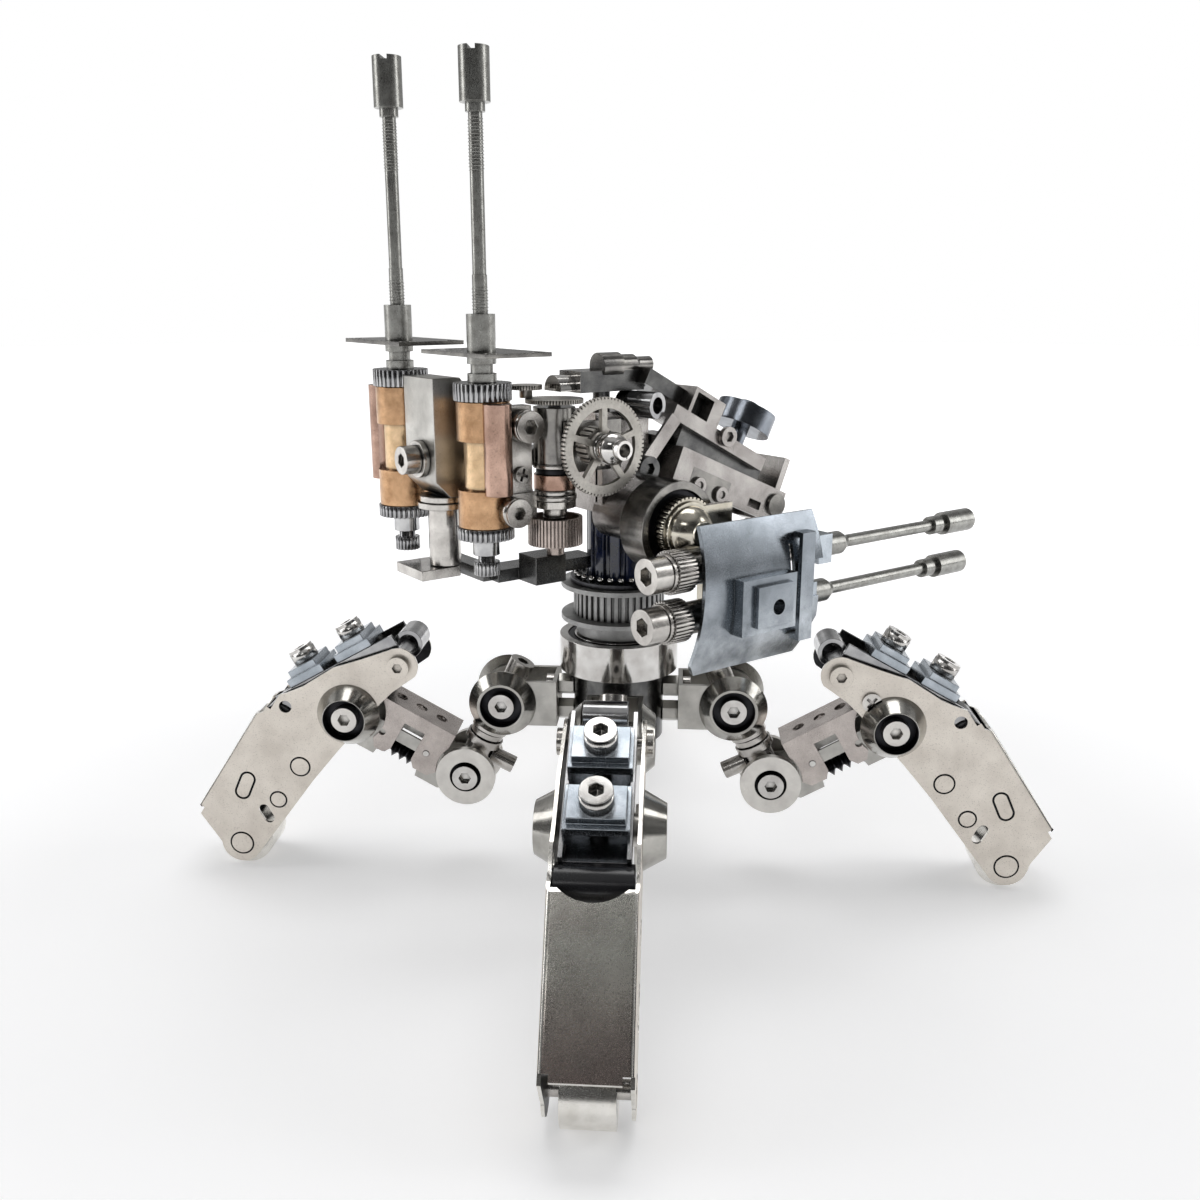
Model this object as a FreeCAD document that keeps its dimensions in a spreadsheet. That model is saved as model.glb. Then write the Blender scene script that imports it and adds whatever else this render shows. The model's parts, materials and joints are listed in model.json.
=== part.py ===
import FreeCAD, Part
import Sketcher
import math
import os

# Four-legged walking machine built from hardware: a fixed hub with four folded sheet
# legs, and a turret on a bearing that carries twin guns, a shield, a rear pod with two
# tall rods and a hood.  Millimetres, +Z up, origin on the floor under the hub axis.

V = FreeCAD.Vector
X_AXIS = V(1, 0, 0)
Y_AXIS = V(0, 1, 0)
Z_AXIS = V(0, 0, 1)
ORIGIN = V(0, 0, 0)

DIMENSIONS = {
    # standard M4 hardware
    "screw_radius": 2.0, "screw_hole_radius": 2.06, "screw_head_radius": 3.5,
    "screw_head_length": 4.0, "socket_radius": 1.72, "socket_depth": 2.2,
    # leg pivots, radius from the hub axis and height above the floor
    "hip_reach": 31.2, "hip_height": 50.9, "mid_reach": 41.9, "mid_height": 29.4,
    "knee_reach": 73.5, "knee_height": 47.3, "top_bolt_reach": 59.0, "top_bolt_height": 61.3,
    "foot_reach": 106.4, "foot_height": 7.7,
    # hip bracket
    "bracket_face": 16.4, "bracket_sheet": 1.2, "bracket_half": 7.3, "bracket_tall": 12.6,
    # link and its pivots
    "barrel_radius": 4.5, "barrel_half": 5.9, "hip_cone_radius": 9.2, "hip_cone_tip": 6.4,
    "mid_barrel_half": 4.2, "hip_cone_start": 7.5, "hip_cone_end": 10.8, "cone_recess_radius": 5.6,
    "washer_radius": 8.25, "washer_start": 6.4, "washer_end": 8.4, "washer_recess": 4.3,
    # thigh
    "thigh_half": 6.1, "thigh_sheet": 0.8, "thigh_top": 8.3, "thigh_bottom": 6.4,
    "strip_half": 5.2, "strip_level": 8.6, "eye_radius": 4.5, "eye_thick": 0.8,
    "web_hole_radius": 1.7, "small_rivet_radius": 0.95,
    "spiral_radius": 3.1, "spiral_core": 1.5, "spiral_pitch": 2.4, "spiral_level": 5.9,
    # shin
    "shin_half": 9.2, "shin_sheet": 0.8, "knee_cone_radius": 8.7, "knee_cone_tip": 5.9,
    "knee_cone_end": 14.2, "foot_roller_radius": 7.7, "foot_roller_half": 5.6,
    "clamp_half": 6.9, "clamp_length": 11.0, "clamp_thick": 4.2,
    "rail_tall": 5.2, "rail_wall": 1.0, "rail_end": 26.0, "hook_radius": 3.9,
    "clamp_slope": 29.0, "inner_roller_radius": 4.6, "pin_hole_radius": 1.65,
    "shin_hole_radius": 1.75,
    # hub
    "column_radius": 12.2, "column_bottom": 41.0, "bearing_bottom": 60.3,
    "bearing_height": 9.5, "bearing_radius": 16.0, "bearing_bore": 10.0,
    "pulley_bottom": 74.3, "pulley_height": 10.2, "flange_radius": 15.5,
    "flange_thick": 1.3, "tooth_tip_radius": 12.2, "tooth_depth": 0.75, "pulley_teeth": 40,
    "spindle_radius": 5.0, "race_radius": 11.3, "ball_radius": 0.8, "ball_count": 26,
    # turret
    "turret_yaw": 40.0, "core_radius": 8.6, "core_bottom": 87.0, "core_top": 105.0,
    "gun_side": -41.0, "gun_axis_along": -7.0, "gun_axis_height": 104.5,
    "upper_gun_height": 96.6, "lower_gun_height": 84.8, "gun_rear": -18.5, "gun_tip": 86.5,
    "gear_radius": 11.6, "gear_teeth": 72, "gear_side": -22.0, "gear_along": -22.0,
    "gear_height": 124.0, "pod_right_along": -40.4, "pod_right_side": 0.7,
    "pod_left_along": -46.2, "pod_left_side": 31.7, "sleeve_radius": 6.6,
    "sleeve_neck_radius": 4.9, "pod_gear_radius": 7.0, "copper_radius": 3.4,
    "post_room": 5.45, "rod_radius": 1.6,
    "rod_top": 198.0, "cap_top": 209.5, "cap_radius": 3.5, "plate_height": 142.6,
    "standoff_along": -4.8, "standoff_side": -7.4, "standoff_height": 132.05,
    "standoff_angle": -75.0, "standoff_length": 11.0, "standoff_radius": 3.3,
    # how far each pod barrel sits above the other parts of the pod
    "pod_right_lift": 1.8, "pod_left_lift": 3.6,
}

doc = FreeCAD.newDocument("FourLeggedWalker")
sheet = doc.addObject("Spreadsheet::Sheet", "dims")
for row, (alias, value) in enumerate(DIMENSIONS.items(), start=1):
    sheet.set(f"A{row}", alias)
    sheet.set(f"B{row}", str(value))
    sheet.setAlias(f"B{row}", alias)
doc.recompute()

NODES = []


def dim(alias):
    """One driving dimension, read back from the sheet."""
    return float(sheet.get(alias))


def bind(item, name, size):
    """Bind a property to a sheet expression, or set it when the size is a plain number."""
    if isinstance(size, str):
        item.setExpression(name, size)
    else:
        setattr(item, name, size)


def aimed(at, axis):
    return FreeCAD.Placement(at, FreeCAD.Rotation(Z_AXIS, axis))


def cylinder(radius, length, at, axis=Z_AXIS):
    item = doc.addObject("Part::Cylinder", "cylinder")
    bind(item, "Radius", radius)
    bind(item, "Height", length)
    item.Placement = aimed(at, axis)
    return item


def cone(radius_start, radius_end, length, at, axis=Z_AXIS):
    item = doc.addObject("Part::Cone", "cone")
    bind(item, "Radius1", radius_start)
    bind(item, "Radius2", radius_end)
    bind(item, "Height", length)
    item.Placement = aimed(at, axis)
    return item


def ball(radius, at):
    item = doc.addObject("Part::Sphere", "ball")
    bind(item, "Radius", radius)
    item.Placement = FreeCAD.Placement(at, FreeCAD.Rotation())
    return item


def block(length, width, height, centre, tilt=0.0):
    """Box centred on a point and pitched about the Y axis; positive tilt drops its +X end."""
    item = doc.addObject("Part::Box", "block")
    bind(item, "Length", length)
    bind(item, "Width", width)
    bind(item, "Height", height)
    doc.recompute([item])
    turn = FreeCAD.Rotation(Y_AXIS, tilt)
    half = V(float(item.Length) / 2, float(item.Width) / 2, float(item.Height) / 2)
    item.Placement = FreeCAD.Placement(centre - turn.multVec(half), turn)
    return item


def fuse(*items):
    item = doc.addObject("Part::MultiFuse", "fuse")
    item.Shapes = list(items)
    return item


def cut(base, *tools):
    item = doc.addObject("Part::Cut", "cut")
    item.Base = base
    item.Tool = tools[0] if len(tools) == 1 else fuse(*tools)
    return item


def group(*items):
    """Several separate solids that make one node."""
    item = doc.addObject("Part::Compound", "group")
    item.Links = list(items)
    return item


def hex_prism(radius, length, at, axis):
    item = doc.addObject("Part::Prism", "hexagon")
    item.Polygon = 6
    bind(item, "Circumradius", radius)
    bind(item, "Height", length)
    item.Placement = aimed(at, axis)
    return item


def cap_screw(at, axis, shank, size=1.0):
    """Socket head cap screw: `at` is under the head, `axis` points out through the head."""
    back = V(axis)
    back.normalize()
    head = cylinder(f"{size} * dims.screw_head_radius", f"{size} * dims.screw_head_length", at, back)
    rod = cylinder("dims.screw_radius", shank + 0.5, at - back * shank, back)
    floor = size * (dim("screw_head_length") - dim("socket_depth"))
    socket = hex_prism(f"{size} * dims.socket_radius", f"{size} * dims.socket_depth + 0.5",
                       at + back * floor, back)
    return cut(fuse(head, rod), socket)


def ring(outer, inner, length, at, axis=Z_AXIS):
    """Tube or washer; it starts at `at` and grows along `axis`."""
    back = V(axis)
    back.normalize()
    outside = cylinder(outer, length, at, back)
    hole = cylinder(inner, f"{length} + 1" if isinstance(length, str) else length + 1,
                    at - back * 0.5, back)
    return cut(outside, hole)


def plane_of(body, role):
    return next(o for o in body.Origin.OriginFeatures if o.Role == role)


def draw(sketch, outline, bends):
    """Closed outline; a bend gives the point that the edge after that corner arcs through."""
    count = len(outline)
    for index in range(count):
        start = V(*outline[index], 0)
        end = V(*outline[(index + 1) % count], 0)
        if index in bends:
            sketch.addGeometry(Part.Arc(start, V(*bends[index], 0), end))
        else:
            sketch.addGeometry(Part.LineSegment(start, end))


def profile(body, outline, bends, role="XZ_Plane"):
    sketch = body.newObject("Sketcher::SketchObject", "outline")
    sketch.AttachmentSupport = (plane_of(body, role), [""])
    sketch.MapMode = "FlatFace"
    draw(sketch, outline, bends)
    return sketch


def padded(body, outline, width, bends=None, role="XZ_Plane"):
    """Pad an outline by the same amount to both sides of its plane."""
    sketch = profile(body, outline, bends or {}, role)
    feature = body.newObject("PartDesign::Pad", "pad")
    feature.Profile = sketch
    feature.SideType = "Symmetric"
    bind(feature, "Length", width)
    body.Tip = feature


def pocketed(body, outline, width, bends=None, role="XZ_Plane"):
    sketch = profile(body, outline, bends or {}, role)
    feature = body.newObject("PartDesign::Pocket", "pocket")
    feature.Profile = sketch
    feature.SideType = "Symmetric"
    bind(feature, "Length", width)
    body.Tip = feature


def bored(body, holes, width, role="XZ_Plane"):
    """Round holes right through, each given as centre and sheet expression for its radius."""
    sketch = body.newObject("Sketcher::SketchObject", "holes")
    sketch.AttachmentSupport = (plane_of(body, role), [""])
    sketch.MapMode = "FlatFace"
    for first, second, radius in holes:
        index = sketch.addGeometry(Part.Circle(V(first, second, 0), Z_AXIS, 1.0))
        size = sketch.addConstraint(Sketcher.Constraint("Radius", index, 1.0))
        sketch.setExpression(f"Constraints[{size}]", radius)
    feature = body.newObject("PartDesign::Pocket", "bores")
    feature.Profile = sketch
    feature.SideType = "Symmetric"
    bind(feature, "Length", width)
    body.Tip = feature


def slot_outline(first, second, half_length, half_width, angle):
    """Straight slot with round ends, as corner points and bends."""
    along = V(math.cos(math.radians(angle)), math.sin(math.radians(angle)), 0)
    across = V(-along.y, along.x, 0)
    centre = V(first, second, 0)
    flat = half_length - half_width
    corners = [centre + along * flat - across * half_width, centre + along * flat + across * half_width,
               centre - along * flat + across * half_width, centre - along * flat - across * half_width]
    tips = {0: centre + along * half_length, 2: centre - along * half_length}
    return [(p.x, p.y) for p in corners], {i: (p.x, p.y) for i, p in tips.items()}


def node(item, name, turn=0.0, frame=FreeCAD.Placement()):
    """Name a finished sub-part and turn it about the hub axis."""
    item.Label = name
    spin = FreeCAD.Placement(ORIGIN, FreeCAD.Rotation(Z_AXIS, turn))
    item.Placement = spin * frame * item.Placement
    NODES.append(item)
    return item


# ------------------------------------------------------------------ legs

hip = V(dim("hip_reach"), 0, dim("hip_height"))
mid = V(dim("mid_reach"), 0, dim("mid_height"))
knee = V(dim("knee_reach"), 0, dim("knee_height"))
top_bolt = V(dim("top_bolt_reach"), 0, dim("top_bolt_height"))
foot = V(dim("foot_reach"), 0, dim("foot_height"))
link_length = (mid - hip).Length
thigh_length = (knee - mid).Length
link_lean = -math.degrees(math.atan2(mid.x - hip.x, hip.z - mid.z))
thigh_pitch = -math.degrees(math.atan2(knee.z - mid.z, knee.x - mid.x))
LINK_FRAME = FreeCAD.Placement(hip, FreeCAD.Rotation(Y_AXIS, link_lean))
THIGH_FRAME = FreeCAD.Placement(mid, FreeCAD.Rotation(Y_AXIS, thigh_pitch))
SIDES = (-1, 1)

# side view of one shin plate: reach, height
SHIN_OUTLINE = [
    (61.4, 65.9), (69.0, 63.2), (77.0, 60.6), (85.5, 55.2), (90.6, 53.0), (94.3, 52.0),
    (97.4, 47.4), (99.9, 46.6), (118.7, 18.0), (112.2, 7.9), (101.5, 4.9), (84.5, 27.5),
    (77.0, 36.5), (64.3, 50.8), (61.0, 54.0), (54.6, 58.5),
]
SHIN_BENDS = {9: (107.4, 2.2), 15: (54.2, 63.4)}
SPINE_TOP = V(99.9, 0, 46.6)
SPINE_CORNER = V(118.7, 0, 18.0)
SHIN_HOLE = (91.0, 49.1)
SHIN_DIMPLE = (104.1, 25.4)
SHIN_SLOT = (98.6, 17.0)
CROSS_SCREW = V(67.4, 0, 54.3)
RIVETS = (V(88.0, 0, 31.5), V(94.9, 0, 21.4))
RIVET_HEAD = 2.5
LOW_RIVET_HEAD = 2.1
FOOT_HEAD = 3.0
RIVET_SINK = 0.4
RIVET_PROUD = 0.12
RIVET_SHANK = 1.6
CLAMP_SCREWS = (V(74.5, 0, 69.2), V(88.0, 0, 61.7))
INNER_ROLLER = V(93.6, 0, 44.6)


def hip_bracket():
    """Folded clevis on the column with two radial screws and their hexagon spacers."""
    face = dim("bracket_face")
    half_tall = dim("bracket_tall") / 2
    low = hip.z - half_tall
    high = hip.z + half_tall
    body = doc.addObject("PartDesign::Body", "clevis")
    outline = [(face, low), (hip.x, low), (hip.x, high), (face, high)]
    padded(body, outline, "2 * dims.bracket_half", {1: (hip.x + half_tall, hip.z)})
    inside = face + dim("bracket_sheet")
    beyond = hip.x + 2 * half_tall
    room = [(inside, low - 1), (beyond, low - 1), (beyond, high + 1), (inside, high + 1)]
    pocketed(body, room, "2 * (dims.bracket_half - dims.bracket_sheet)")
    bored(body, [(hip.x, hip.z, "dims.screw_hole_radius")], 40)
    screw_levels = (hip.z - 3.6, hip.z + 3.6)
    drilled = cut(body, *[cylinder(1.55, 6, V(face - 2, 0, level), X_AXIS)
                          for level in screw_levels])
    pieces = [drilled]
    for level in screw_levels:
        spacer_start = V(dim("column_radius"), 0, level)
        spacer = hex_prism(3.0, face - dim("column_radius"), spacer_start, X_AXIS)
        bore = cylinder(1.55, 8, spacer_start - X_AXIS, X_AXIS)
        pieces.append(cut(spacer, bore))
        under = V(inside, 0, level)
        head = fuse(cylinder(2.6, 2.2, under, X_AXIS), cylinder(1.5, 5.0, under - X_AXIS * 4.8, X_AXIS))
        pieces.append(cut(head, hex_prism(1.3, 2, under + X_AXIS * 1.0, X_AXIS)))
    return group(*pieces)


def cross_barrel(centre, half):
    """Barrel along the pivot axis with end bores for the pivot screws and a stem hole."""
    full = cylinder("dims.barrel_radius", 2 * half, centre - Y_AXIS * half, Y_AXIS)
    inner_end = 2.6
    bores = [cylinder("dims.screw_hole_radius", half, centre + Y_AXIS * (side * inner_end),
                      Y_AXIS * side) for side in SIDES]
    return full, bores


# rings on the drop link: radius, then where each starts and ends as a share of the free length
LINK_STACK = ((4.0, 0.0, 0.27), (5.2, 0.28, 0.44), (4.7, 0.45, 0.57), (5.2, 0.58, 0.74), (4.0, 0.75, 1.0))


def drop_link():
    """Long screw through the hip barrel, a stack of rings, the mid barrel and an end nut."""
    barrel_edge = dim("barrel_radius")
    hip_barrel, hip_bores = cross_barrel(ORIGIN, dim("barrel_half"))
    mid_centre = V(0, 0, -link_length)
    mid_barrel, mid_bores = cross_barrel(mid_centre, dim("mid_barrel_half"))
    stem_end = -link_length - barrel_edge - 1.2
    under_head = 7.0
    stem = cap_screw(V(0, 0, under_head), Z_AXIS, under_head - stem_end)
    passage = [cylinder("dims.screw_hole_radius", 12, V(0, 0, level - 6)) for level in (0, -link_length)]
    pieces = [stem, cut(hip_barrel, passage[0], *hip_bores), cut(mid_barrel, passage[1], *mid_bores)]
    pieces.append(ring(3.4, "dims.screw_hole_radius", under_head - barrel_edge, V(0, 0, barrel_edge)))
    stack_start = -barrel_edge
    stack_room = link_length - 2 * barrel_edge
    for radius, share_start, share_end in LINK_STACK:
        start = stack_start - share_end * stack_room
        length = (share_end - share_start) * stack_room - 0.1
        pieces.append(ring(radius, "dims.screw_hole_radius", length, V(0, 0, start)))
    nut_length = 5.6
    nut_start = -link_length - barrel_edge - nut_length
    nut = cylinder(3.4, nut_length, V(0, 0, nut_start))
    pieces.append(cut(nut, cylinder("dims.screw_hole_radius", nut_length, V(0, 0, nut_start + 4.0))))
    stub_level = -link_length + 5.9
    pieces.append(cylinder(2.45, 6.8, V(-4.1, 0, stub_level), V(-1, 0, 0)))
    return group(*pieces)


def pivot_cone(centre, side, start, end, base, tip, floor):
    """Conical washer that points outwards, with a round recess for the screw head."""
    out = Y_AXIS * side
    shape = cone(base, tip, end - start, centre + out * start, out)
    recess = cylinder("dims.cone_recess_radius", end - floor + 1, centre + out * floor, out)
    bore = cylinder("dims.screw_hole_radius", end - start + 2, centre + out * (start - 1), out)
    return cut(shape, recess, bore)


def low_screw(under, out, shank, head_length):
    head = cylinder("dims.screw_head_radius", head_length, under, out)
    rod = cylinder("dims.screw_radius", shank + 0.5, under - out * shank, out)
    socket = hex_prism("dims.socket_radius", head_length, under + out * (head_length - 1.6), out)
    return cut(fuse(head, rod), socket)


def link_pivots():
    """Cones and screws at the hip, flat washers and screws at the middle pivot."""
    pieces = []
    for side in SIDES:
        out = Y_AXIS * side
        floor = dim("hip_cone_start") + 0.5
        pieces.append(pivot_cone(hip, side, dim("hip_cone_start"), dim("hip_cone_end"),
                                 "dims.hip_cone_radius", "dims.hip_cone_tip", floor))
        pieces.append(low_screw(hip + out * floor, out, floor - 2.8, 2.4))
        start = dim("washer_start")
        thick = dim("washer_end") - start
        washer = cylinder("dims.washer_radius", thick, mid + out * start, out)
        recess = cylinder("dims.washer_recess", thick, mid + out * (start + 0.7), out)
        bore = cylinder("dims.screw_hole_radius", thick + 2, mid + out * (start - 1), out)
        pieces.append(cut(washer, recess, bore))
        pieces.append(low_screw(mid + out * (start + 0.7), out, start + 0.7 - 2.8, 2.3))
    return group(*pieces)


def thigh_channel():
    """Outer channel, web on top with three holes, sides cut by a window, and two rivets."""
    top = dim("thigh_top")
    below = -dim("thigh_bottom")
    under_web = top - dim("thigh_sheet")
    far = thigh_length
    body = doc.addObject("PartDesign::Body", "channel")
    outline = [
        (7.8, top), (far - 2.8, top), (far - 2.8, under_web), (far - 6.0, under_web),
        (far - 8.7, -4.0), (far - 10.2, below), (far - 12.9, below), (far - 14.5, -4.4),
        (far - 14.5, 4.3), (15.5, 4.3), (15.5, -4.4), (13.9, below), (9.6, below), (7.7, -4.2),
        (7.8, 3.9),
    ]
    padded(body, outline, "2 * dims.thigh_half", {3: (far - 9.6, 0), 13: (8.75, 0)})
    room = [(0, -12), (far + 6, -12), (far + 6, under_web), (0, under_web)]
    pocketed(body, room, "2 * (dims.thigh_half - dims.thigh_sheet)")
    web_holes = [(place, 0, "dims.web_hole_radius") for place in (13.5, 19.9, 26.2)]
    bored(body, web_holes, 40, "XY_Plane")
    rivet_places = [(12.6, -0.6), (far - 10.2, -1.2)]
    bored(body, [(x, z, "dims.small_rivet_radius") for x, z in rivet_places], 40)
    place = V(rivet_places[0][0], 0, rivet_places[0][1])
    rivets = [cylinder("dims.small_rivet_radius - 0.03", 1.8, place + Y_AXIS * (side * 4.5), Y_AXIS * side)
              for side in SIDES]
    return group(body, *rivets)


def thigh_link():
    """Inner channel, open at the top, with an eye on each pivot and the knee barrel."""
    far = thigh_length
    eye = dim("eye_radius")
    level = -dim("strip_level")
    body = doc.addObject("PartDesign::Body", "inner_link")
    outline = [
        (0, eye), (0, -eye), (5.2, level), (12.4, level), (13.6, -2.0), (far - 12.0, -2.0),
        (far - 10.8, level), (far - 4.4, level), (far, -eye), (far, eye), (far - 7.0, 1.6), (7.0, 1.6),
    ]
    padded(body, outline, "2 * dims.strip_half", {0: (-eye, 0), 8: (far + eye, 0)})
    inner = "2 * (dims.strip_half - dims.eye_thick)"
    floor = level + dim("eye_thick")
    above = [(-eye - 1, floor), (far + eye + 1, floor), (far + eye + 1, eye + 1), (-eye - 1, eye + 1)]
    pocketed(body, above, inner)
    ends = 7.4
    for start, stop in ((-eye - 1, ends), (far - 5.5, far + eye + 1)):
        pocketed(body, [(start, level - 1), (stop, level - 1), (stop, 0), (start, 0)], inner)
    bored(body, [(0, 0, "dims.screw_hole_radius"), (far, 0, "dims.screw_hole_radius"),
                 (12.6, -0.6, "dims.small_rivet_radius")], 40)
    half = dim("mid_barrel_half")
    barrel, bores = cross_barrel(V(far, 0, 0), half)
    return group(body, cut(barrel, *bores))


def spiral_screw():
    """Coarse adjusting screw between two square nuts."""
    level = -dim("spiral_level")
    start = 9.0
    stop = thigh_length - 8.6
    core = cylinder("dims.spiral_core", stop - start, V(start, 0, level), X_AXIS)
    teeth = []
    pitch = dim("spiral_pitch")
    count = 5
    first = (start + stop) / 2 - (count - 1) * pitch / 2
    for index in range(count):
        place = first + index * pitch
        rise = pitch * 0.42
        teeth.append(cone("dims.spiral_core", "dims.spiral_radius", rise, V(place - rise, 0, level), X_AXIS))
        teeth.append(cone("dims.spiral_radius", "dims.spiral_core", rise, V(place, 0, level), X_AXIS))
    screw = fuse(core, *teeth)
    nuts = []
    for place in (start + 1.6, stop - 1.6):
        square = block(2.4, 7.6, 3.6, V(place, 0, level))
        nuts.append(cut(square, cylinder("dims.spiral_core + 0.03", 4, V(place - 2, 0, level), X_AXIS)))
    return group(screw, *nuts)


def shin_pill(offset, outer_length, outer_width, inner_length, inner_width):
    """Groove in the outline of a pill, half sunk in the plate face at the given offset."""
    rims = []
    for half_length, half_width, depth in ((outer_length, outer_width, 0.8), (inner_length, inner_width, 1.0)):
        body = doc.addObject("PartDesign::Body", "pill")
        outline, tips = slot_outline(SHIN_DIMPLE[0], SHIN_DIMPLE[1], half_length, half_width, -66)
        padded(body, outline, depth, tips)
        rims.append(body)
    groove = cut(*rims)
    groove.Placement = FreeCAD.Placement(offset, FreeCAD.Rotation())
    return groove


def shin_shell():
    """Folded housing: two plates joined by a spine on the outer edge, open inwards."""
    body = doc.addObject("PartDesign::Body", "shell")
    padded(body, SHIN_OUTLINE, "2 * dims.shin_half", SHIN_BENDS)
    down = SPINE_CORNER - SPINE_TOP
    down.normalize()
    inward = V(down.z, 0, -down.x)
    inner_top = SPINE_TOP + inward * dim("shin_sheet") - down * 12
    inner_low = SPINE_CORNER + inward * dim("shin_sheet") + down * 8
    room = [(inner_top.x, inner_top.z), (inner_low.x, inner_low.z), (inner_low.x, -10), (40, -10),
            (40, 80), (inner_top.x, 80)]
    pocketed(body, room, "2 * (dims.shin_half - dims.shin_sheet)")
    holes = [(knee.x, knee.z, "dims.screw_hole_radius"), (top_bolt.x, top_bolt.z, "dims.pin_hole_radius"),
             (SHIN_HOLE[0], SHIN_HOLE[1], "dims.shin_hole_radius"),
             (foot.x, foot.z, "dims.screw_hole_radius")]
    holes += [(rivet.x, rivet.z, "dims.pin_hole_radius") for rivet in RIVETS]
    bored(body, holes, 40)
    slot, tips = slot_outline(SHIN_SLOT[0], SHIN_SLOT[1], 2.9, 1.5, 62)
    pocketed(body, slot, 40, tips)
    doc.recompute()
    base = body.Tip
    edges = []
    middle = (SPINE_TOP + SPINE_CORNER) * 0.5
    for number, edge in enumerate(base.Shape.Edges, start=1):
        spot = edge.CenterOfMass
        flat = V(spot.x, 0, spot.z)
        if (flat - middle).Length < 2.0 and abs(abs(spot.y) - dim("shin_half")) < 0.1:
            edges.append(f"Edge{number}")
    bend = body.newObject("PartDesign::Fillet", "bends")
    bend.Base = (base, edges)
    bend.Radius = 1.2
    body.Tip = bend
    normal = inward * -1
    tools = []
    scallop = SPINE_TOP - down * 8.4 + inward * 3
    tools.append(cylinder(10.2, 8, scallop, normal))
    step_half = 1.2
    step_turn = FreeCAD.Rotation(Z_AXIS, down)
    for side in SIDES:
        out = Y_AXIS * side
        corner = SPINE_CORNER - down * 0.3 + out * (dim("shin_half") - step_half + 0.1)
        step = block(3.4, 2 * step_half, 2.4, ORIGIN)
        step.Placement = FreeCAD.Placement(corner, step_turn) * step.Placement
        tools.append(step)
        face = out * dim("shin_half")
        tools.append(shin_pill(face, 4.4, 2.3, 3.8, 1.7))
        for centre, radius in ((RIVETS[0], RIVET_HEAD), (RIVETS[1], LOW_RIVET_HEAD), (foot, FOOT_HEAD)):
            tools.append(cylinder(radius + 0.45, 1.0, centre + out * (dim("shin_half") - RIVET_SINK - 0.01), out))
    return cut(body, *tools)


def shin_pins():
    """Knee cones and screws, the top bolt, rivets, the foot axle and one cross screw."""
    pieces = []
    face = dim("shin_half")
    for side in SIDES:
        out = Y_AXIS * side
        start = face + 0.02
        floor = face + 1.6
        pieces.append(pivot_cone(knee, side, start, dim("knee_cone_end"),
                                 "dims.knee_cone_radius", "dims.knee_cone_tip", floor))
        pieces.append(low_screw(knee + out * floor, out, floor - 2.8, 3.0))
        spacer_start = dim("strip_half") + 0.15
        spacer_length = face - dim("shin_sheet") - spacer_start - 0.02
        pieces.append(ring(3.6, "dims.screw_hole_radius", spacer_length, knee + out * spacer_start, out))
    rod = cylinder(1.25, 2 * face, top_bolt - Y_AXIS * face, Y_AXIS)
    heads = []
    for side in SIDES:
        out = Y_AXIS * side
        head = cylinder(3.1, 1.6, top_bolt + out * face, out)
        heads.append(cut(head, hex_prism(1.4, 1.6, top_bolt + out * (face + 0.6), out)))
    pieces.append(fuse(rod, *heads))
    for centre, head_radius, shank in ((RIVETS[0], RIVET_HEAD, RIVET_SHANK),
                                       (RIVETS[1], LOW_RIVET_HEAD, RIVET_SHANK),
                                       (foot, FOOT_HEAD, dim("screw_radius"))):
        inner = face - RIVET_SINK
        shaft = cylinder(shank - 0.02, 2 * inner, centre - Y_AXIS * inner, Y_AXIS)
        caps = [cylinder(head_radius, RIVET_SINK + RIVET_PROUD, centre + Y_AXIS * (side * inner),
                         Y_AXIS * side) for side in SIDES]
        pieces.append(fuse(shaft, *caps))
    cross = cylinder(2.6, 0.9, CROSS_SCREW - Y_AXIS * face, Y_AXIS * -1)
    bars = [block(3.4, 1.2, 0.7, CROSS_SCREW - Y_AXIS * (face + 0.8), tilt) for tilt in (40, 130)]
    cone_room = cylinder("dims.knee_cone_radius + 0.05", 4, knee - Y_AXIS * (face + 4), Y_AXIS)
    pieces.append(cut(cross, cone_room, *bars))
    return group(*pieces)


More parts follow.
